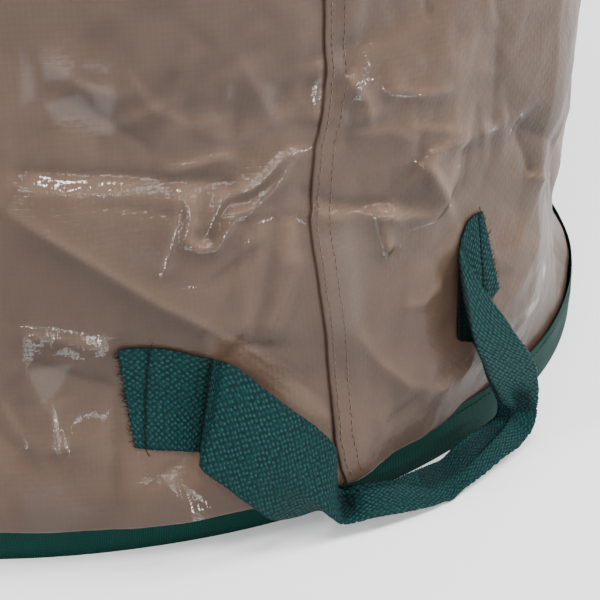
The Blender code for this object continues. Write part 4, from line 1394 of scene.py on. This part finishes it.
# ------------------------------------------------------------ tipping handle
# Pixel places of the upper edge, crease and lower edge, each with its radius in mm.
# A radius under 100 counts outward from the wall's cloth.
LOOP = [
    ((118, 350, 1.3), (126.5, 398, 1.3), (135, 447, 1.3)),
    ((134, 348, 1.2), (139, 399, 1.2), (145, 448.5, 1.2)),
    ((166, 349, 1.2), (167, 401, 1.2), (169, 450.5, 1.2)),
    ((190, 354, 1.2), (188, 404, 1.2), (186, 452, 1.2)),
    ((206, 357, 1.2), (200, 404.5, 1.2), (194, 452, 1.2)),
    ((214, 358.5, 1.6), (207, 405, 1.6), (199.5, 452, 1.6)),
    ((218, 359, 4.0), (211, 409, 6.0), (198.5, 459, 7.0)),
    ((226, 362.5, 344), (216, 417, 348), (200, 466, 352)),
    ((240, 370, 347), (227, 427, 352), (208, 475, 356)),
    ((265, 390, 351), (248, 440, 356), (230, 490.5, 360)),
    ((292, 410, 354.5), (273, 459, 359.5), (250, 505.5, 361.5)),
    ((312, 424.5, 356.5), (292, 475, 361.5), (271, 520, 359)),
    ((326, 436, 358), (307, 492, 362.5), (290, 518, 353)),
    ((335.5, 448, 359), (321, 505, 363), (308, 512, 348)),
    ((336, 464, 354), (332, 516, 363.5), (321, 502, 345)),
    ((337, 486, 348), (342, 523.5, 364), (334, 489, 344)),
    ((349, 491, 353), (354, 522.5, 364.5), (348, 486, 346)),
    ((364, 489, 358.5), (367, 518, 365), (362, 484.5, 349)),
    ((380, 486, 360.5), (384, 514.5, 366), (378, 481.5, 351)),
    ((394, 484, 361), (401, 511.5, 366.5), (393, 479.5, 352)),
    ((408, 484, 361), (415, 509, 367), (406, 474.5, 351.5)),
    ((421, 486.5, 361), (429, 506, 367.5), (418, 469, 351)),
    ((435, 488.5, 361.5), (442, 502.5, 368), (430, 464, 350.5)),
    ((446, 485, 361.5), (453, 498, 368), (440, 459.5, 350.5)),
    ((457, 476, 361), (464, 489.5, 367.5), (450, 450.5, 350.5)),
    ((468, 464, 360.5), (476, 479.5, 367), (460, 441.5, 351)),
    ((480, 452, 360), (488, 470, 366.5), (469, 434, 351)),
    ((492, 440, 359), (504, 456, 366), (480, 428.5, 351)),
    ((502, 429, 357.5), (519, 445.5, 365.5), (489, 422.5, 350)),
    ((508, 419, 354.5), (530, 433, 365), (496, 416, 349)),
    ((508, 409, 353), (536, 416, 364.5), (498, 408, 348.5)),
    ((501, 402, 355), (537.5, 400, 363.5), (497, 400, 349.5)),
    ((495, 390, 357), (537.5, 383, 362), (492, 388, 350.5)),
    ((487.5, 376, 357.5), (536, 369, 361), (486, 375, 351)),
    ((482, 361, 357), (531, 356.5, 359.5), (482, 362, 350.5)),
    ((476, 347, 355.5), (522, 344, 357.5), (477, 350, 349.5)),
    ((471, 331, 353), (512, 330, 355), (472.5, 342, 348)),
    ((465.5, 308, 349.5), (500, 313, 351.5), (468, 341.5, 345.5)),
    ((462, 290, 345.5), (488.5, 297, 348), (463.5, 341, 342.5)),
    ((459.5, 272, 341.5), (475.5, 279, 344), (460, 340.5, 340)),
    ((458, 258, 338.8), (466, 262, 340.5), (457.5, 340, 338)),
    ((458.5, 247, 1.8), (459.5, 254, 2.2), (456, 339.5, 1.8)),
    ((461.5, 236, 1.3), (460.5, 284, 1.3), (459, 337, 1.3)),
    ((466.5, 223, 1.2), (468, 275, 1.2), (470, 325, 1.2)),
    ((473, 216, 1.2), (478, 266, 1.2), (483, 309, 1.2)),
    ((481.5, 211.5, 1.3), (489.5, 250, 1.3), (497.5, 290, 1.3)),
]
st = []
for row in LOOP:
    pts = []
    for x, y, rad in row:
        if rad < 100:
            s, z = px_wall((x, y))
            pts.append(wall_point(np.array(s), np.array(z), rad / 1000))
        else:
            pts.append(ray_cylinder((x, y), rad / 1000))
    st.append(pts)
st = np.array(st)
P, u, V, tu = webbing_surface(st, 0.00078, 74)
# which part is sewn to the wall, which is free
n_st = len(LOOP)
free = smoothstep(5.0, 6.5, tu) * (1 - smoothstep(n_st - 5.6, n_st - 4.6, tu))
P = off_wall(P, 0.0018, free[:, None] * np.ones(P.shape[:2]))


def dent(P, tu, V, t0, v0, dt, dv, depth):
    N = normals_of(P)
    w = np.exp(-(((tu - t0) / dt) ** 2))[:, None] * np.exp(-(((V - v0) / dv) ** 2))[None]
    return P + N * (w * depth)[..., None]


NFLIP = 1.0
N = normals_of(P)
mid = P[len(P) // 12, 37]
nn = N[len(P) // 12, 37]
if nn @ np.array([mid[0], mid[1], 0]) < 0:
    P = P[:, ::-1].copy()
    NFLIP = -1.0
print("webbing length", u[-1], "flip", NFLIP)


def vv(v):
    return v if NFLIP > 0 else 1 - v


# hollows where the strap buckles
P = dent(P, tu, V, 30.6, vv(0.26), 1.1, 0.11, -0.0060)
P = dent(P, tu, V, 15.6, vv(0.20), 0.9, 0.16, -0.0030)
P = dent(P, tu, V, 9.5, vv(0.5), 1.6, 0.35, 0.0010)
u_of = lambda t: float(np.interp(t, tu, u))
LEFT_OUT = lambda v: u_of(0.0) + 0.0118 - 0.0058 * (v if NFLIP > 0 else 1 - v)
LEFT_IN = lambda v: u_of(4.75)
RIGHT_IN = lambda v: u_of(n_st - 4.55)
RIGHT_OUT = lambda v: u_of(n_st - 1) - 0.0050 - 0.0052 * (v if NFLIP > 0 else 1 - v)
# two halves that meet at the lowest point
TIP_CUT = 190
TIP_TURNS = (
    ("left", (0, TIP_CUT), (0.7805, -0.5988, -0.1796), 0.1333, 0.1997),
    ("right", (TIP_CUT, len(u) - 1), (0.1240, -0.8632, -0.4894), 0.2585, 0.2910),
)
for half_name, rows, way, start, end in TIP_TURNS:
    way = np.array(way) / np.linalg.norm(way)
    tip = webbing_object(
        f"tipping_handle_{half_name}_webbing", P, u, V, grooves=(LEFT_OUT, LEFT_IN, RIGHT_IN, RIGHT_OUT), tone=paint_strap_shade(P), rows=rows
    )
    finish_piece(tip, WEB, [f"tipping_handle_{half_name}_end", "tipping_handle_loop"])
    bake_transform(tip)
TIP_P, TIP_U = P, u
for name, line, node, tails in (
    ("tipping_left_stitches_outer", LEFT_OUT, "tipping_handle_left_stitch_outer", True),
    ("tipping_left_stitches_inner", LEFT_IN, "tipping_handle_left_stitch_inner", False),
    ("tipping_right_stitches_inner", RIGHT_IN, "tipping_handle_right_stitch_inner", False),
    ("tipping_right_stitches_outer", RIGHT_OUT, "tipping_handle_right_stitch_outer", True),
):
    stitch_row(P, u, line, name, node, "root", 1.0, tails)
tubes = Tubes(4)
frays(tubes, P, 0, 110)
frays(tubes, P, 1, 90)
o = tubes.build("tipping_handle_frays")
finish_piece(o, GREEN, body="root")

# ------------------------------------------------------------ carrying handles
for label, phi0, sgn in (("left", -90.0, -1), ("right", 90.0, 1)):
    path = [(18.9, 0.0, 0.0), (16.6, 0.0, 0.0), (14.3, 0.0, 0.0), (12.8, 0.0, 0.0), (12.2, 0.0, 0.0006)]
    free_path = [(11.9, 0.002, 0.0030), (11.3, 0.012, 0.0060), (10.4, 0.030, 0.0120), (9.2, 0.048, 0.0185), (7.6, 0.064, 0.0245), (5.8, 0.0735, 0.0275), (3.6, 0.079, 0.0290), (1.8, 0.0818, 0.0296), (0.0, 0.083, 0.0300)]
    half_st = []
    for q, (deg, drop, out) in enumerate(path + free_path):
        sewn = q < len(path)
        fold = 0.0
        if not sewn:
            fold = float(np.clip((9.6 - deg) / (9.6 - 4.8), 0, 1))
            fold = fold * fold * (3 - 2 * fold)
        half_st.append((deg, drop, out, sewn, fold))
    full = half_st + [(-d, dr, o2, sw, fo) for d, dr, o2, sw, fo in half_st[-2::-1]]
    cen = []
    for deg, drop, out, sewn, fold in full:
        a = math.radians(phi0 - deg)
        r = 0.3368 + out + 0.0012 * math.sin(deg * 0.9 + (1.0 if label == "left" else 2.3))
        cen.append((r * math.sin(a), -r * math.cos(a), 0.686 - drop))
    cen = np.array(cen)
    tan = np.gradient(cen, axis=0)
    tan /= np.linalg.norm(tan, axis=1, keepdims=True)
    st = []
    for q, (deg, drop, out, sewn, fold) in enumerate(full):
        a = math.radians(phi0 - deg)
        rad = np.array([math.sin(a), -math.cos(a), 0.0])
        if sewn:
            s = a * R0
            col = [wall_point(np.array(s), np.array(zz), 0.0019 + (0.0006 if abs(deg) < 12.5 else 0)) for zz in (0.711, 0.686, 0.661)]
            st.append(col)
            continue
        up = np.cross(rad, tan[q])
        up /= np.linalg.norm(up)
        if up[2] < 0:
            up = -up
        up = up - rad * (up @ rad)
        up /= np.linalg.norm(up)
        lean = 0.0025 * fold
        m = cen[q] - up * 0.0125 * fold + rad * (0.0055 * math.sin(math.pi * fold) + 0.002 * fold)
        e1 = m + up * 0.0245 * (1 - 0.12 * fold) - rad * lean
        th = math.pi * 0.955 * fold
        e2 = m - up * 0.0245 * math.cos(th) - rad * 0.0245 * math.sin(th)
        st.append([e1, m, e2])
    st = np.array(st)
    P, u, V, tu = webbing_surface(st, 0.00105, 58)
    k = len(st)
    free = smoothstep(4.0, 5.2, tu) * (1 - smoothstep(k - 6.2, k - 5.0, tu))
    P = off_wall(P, 0.0016, free[:, None] * np.ones(P.shape[:2]))
    i = len(P) // 20
    if normals_of(P)[i, 29] @ np.array([P[i, 29, 0], P[i, 29, 1], 0]) < 0:
        P = P[:, ::-1].copy()
    P = P + (normals_of(P) * (0.0008 * soft_noise(u[:, None] + 0 * V[None], 0 * u[:, None] + V[None] * 0.05, 0.03, 80 + sgn))[..., None]) * free[:, None, None]
    rows = {
        "front_outer": 0.0075,
        "front_inner": float(np.interp(3.6, tu, u)),
        "rear_inner": float(np.interp(k - 4.6, tu, u)),
        "rear_outer": u[-1] - 0.0075,
    }
    gl = {key: (lambda v, x=x: x + 0 * v) for key, x in rows.items()}
    start_front = P[0, 29, 1] < 0
    cut = len(u) // 2
    for span in ((0, cut), (cut, len(u) - 1)):
        half_name = "front" if start_front == (span[0] == 0) else "rear"
        way = np.array([sgn * 0.9959, -0.0699 if half_name == "front" else 0.0699, -0.0577])
        way /= np.linalg.norm(way)
        o = webbing_object(f"{label}_handle_{half_name}_webbing", P, u, V, grooves=tuple(gl.values()), rows=span)
        finish_piece(o, WEB, [f"{label}_handle_{half_name}_end", f"{label}_handle_loop"])
        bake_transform(o)
    for key in rows:
        which, place = key.split("_")
        real = which if start_front else {"front": "rear", "rear": "front"}[which]
        stitch_row(P, u, gl[key], f"{label}_{real}_stitches_{place}", f"{label}_handle_{real}_stitch_{place}", "rim", 1.0, place == "outer")
    tubes = Tubes(4)
    frays(tubes, P, 0, 60)
    frays(tubes, P, 1, 60)
    finish_piece(tubes.build(f"{label}_handle_frays"), GREEN, body="rim")

# ============================================================ stage, light, camera
bpy.ops.mesh.primitive_plane_add(size=60, location=(0, 0, 0))
floor = bpy.context.object
floor.name = "studio_floor"
m, nt, sh = nodes_of("studio_floor")
sh.inputs["Base Color"].default_value = (0.94, 0.94, 0.94, 1)
sh.inputs["Roughness"].default_value = 0.9
sh.inputs["Specular IOR Level"].default_value = 0.1
floor.data.materials.append(m)

world = bpy.data.worlds.new("studio")
bpy.context.scene.world = world
world.use_nodes = True
bg = world.node_tree.nodes["Background"]
k = Net(world.node_tree)
sky = k.node("ShaderNodeTexCoord")
up = k.node("ShaderNodeSeparateXYZ")
k.link(sky.outputs["Generated"], up.inputs[0])
k.link(
    k.ramp(
        k.math("MULTIPLY_ADD", up.outputs[2], 0.5, 0.5),
        [(0.48, (0.92, 0.92, 0.95)), (0.62, (0.70, 0.70, 0.74)), (0.80, (0.36, 0.36, 0.39)), (1.0, (0.20, 0.20, 0.22))],
    ),
    bg.inputs["Color"],
)
bg.inputs["Strength"].default_value = 1.0


def area(name, az, el, dist, size, size_y, power, color=(1, 1, 1), aim=(0, 0, 0.2)):
    """az runs round from the seam towards +X, in degrees."""
    light = bpy.data.lights.new(name, "AREA")
    light.shape = "RECTANGLE"
    light.size, light.size_y = size, size_y
    light.energy = power
    light.color = color
    o = bpy.data.objects.new(name, light)
    bpy.context.scene.collection.objects.link(o)
    a, e = math.radians(az), math.radians(el)
    o.location = Vector(
        (dist * math.cos(e) * math.sin(a), -dist * math.cos(e) * math.cos(a), dist * math.sin(e))
    ) + Vector(aim)
    o.rotation_euler = (Vector(aim) - o.location).to_track_quat("-Z", "Y").to_euler()
    return o


area("top", -10, 66, 2.6, 0.8, 0.8, 50)
area("sky", 62, 44, 2.6, 0.7, 0.7, 66)
area("side", -84, 27, 2.6, 0.5, 0.5, 40)
# narrow strip boxes round the bag
for number, az in enumerate((-52, -8, 34, 78, 124)):
    area(f"strip_{number}", az, 17, 2.4, 1.25, 0.17, 19)

cam_data = bpy.data.cameras.new("camera")
cam = bpy.data.objects.new("camera", cam_data)
bpy.context.scene.collection.objects.link(cam)
M = Matrix.Identity(4)
for i in range(3):
    M[i][0], M[i][1], M[i][2], M[i][3] = CAM_R[i], CAM_U[i], -CAM_D[i], CAM_P[i]
cam.matrix_world = M
cam_data.sensor_width = 36
cam_data.lens = FOCAL_PX / 600 * 36
cam_data.clip_start = 0.05
bpy.context.scene.camera = cam
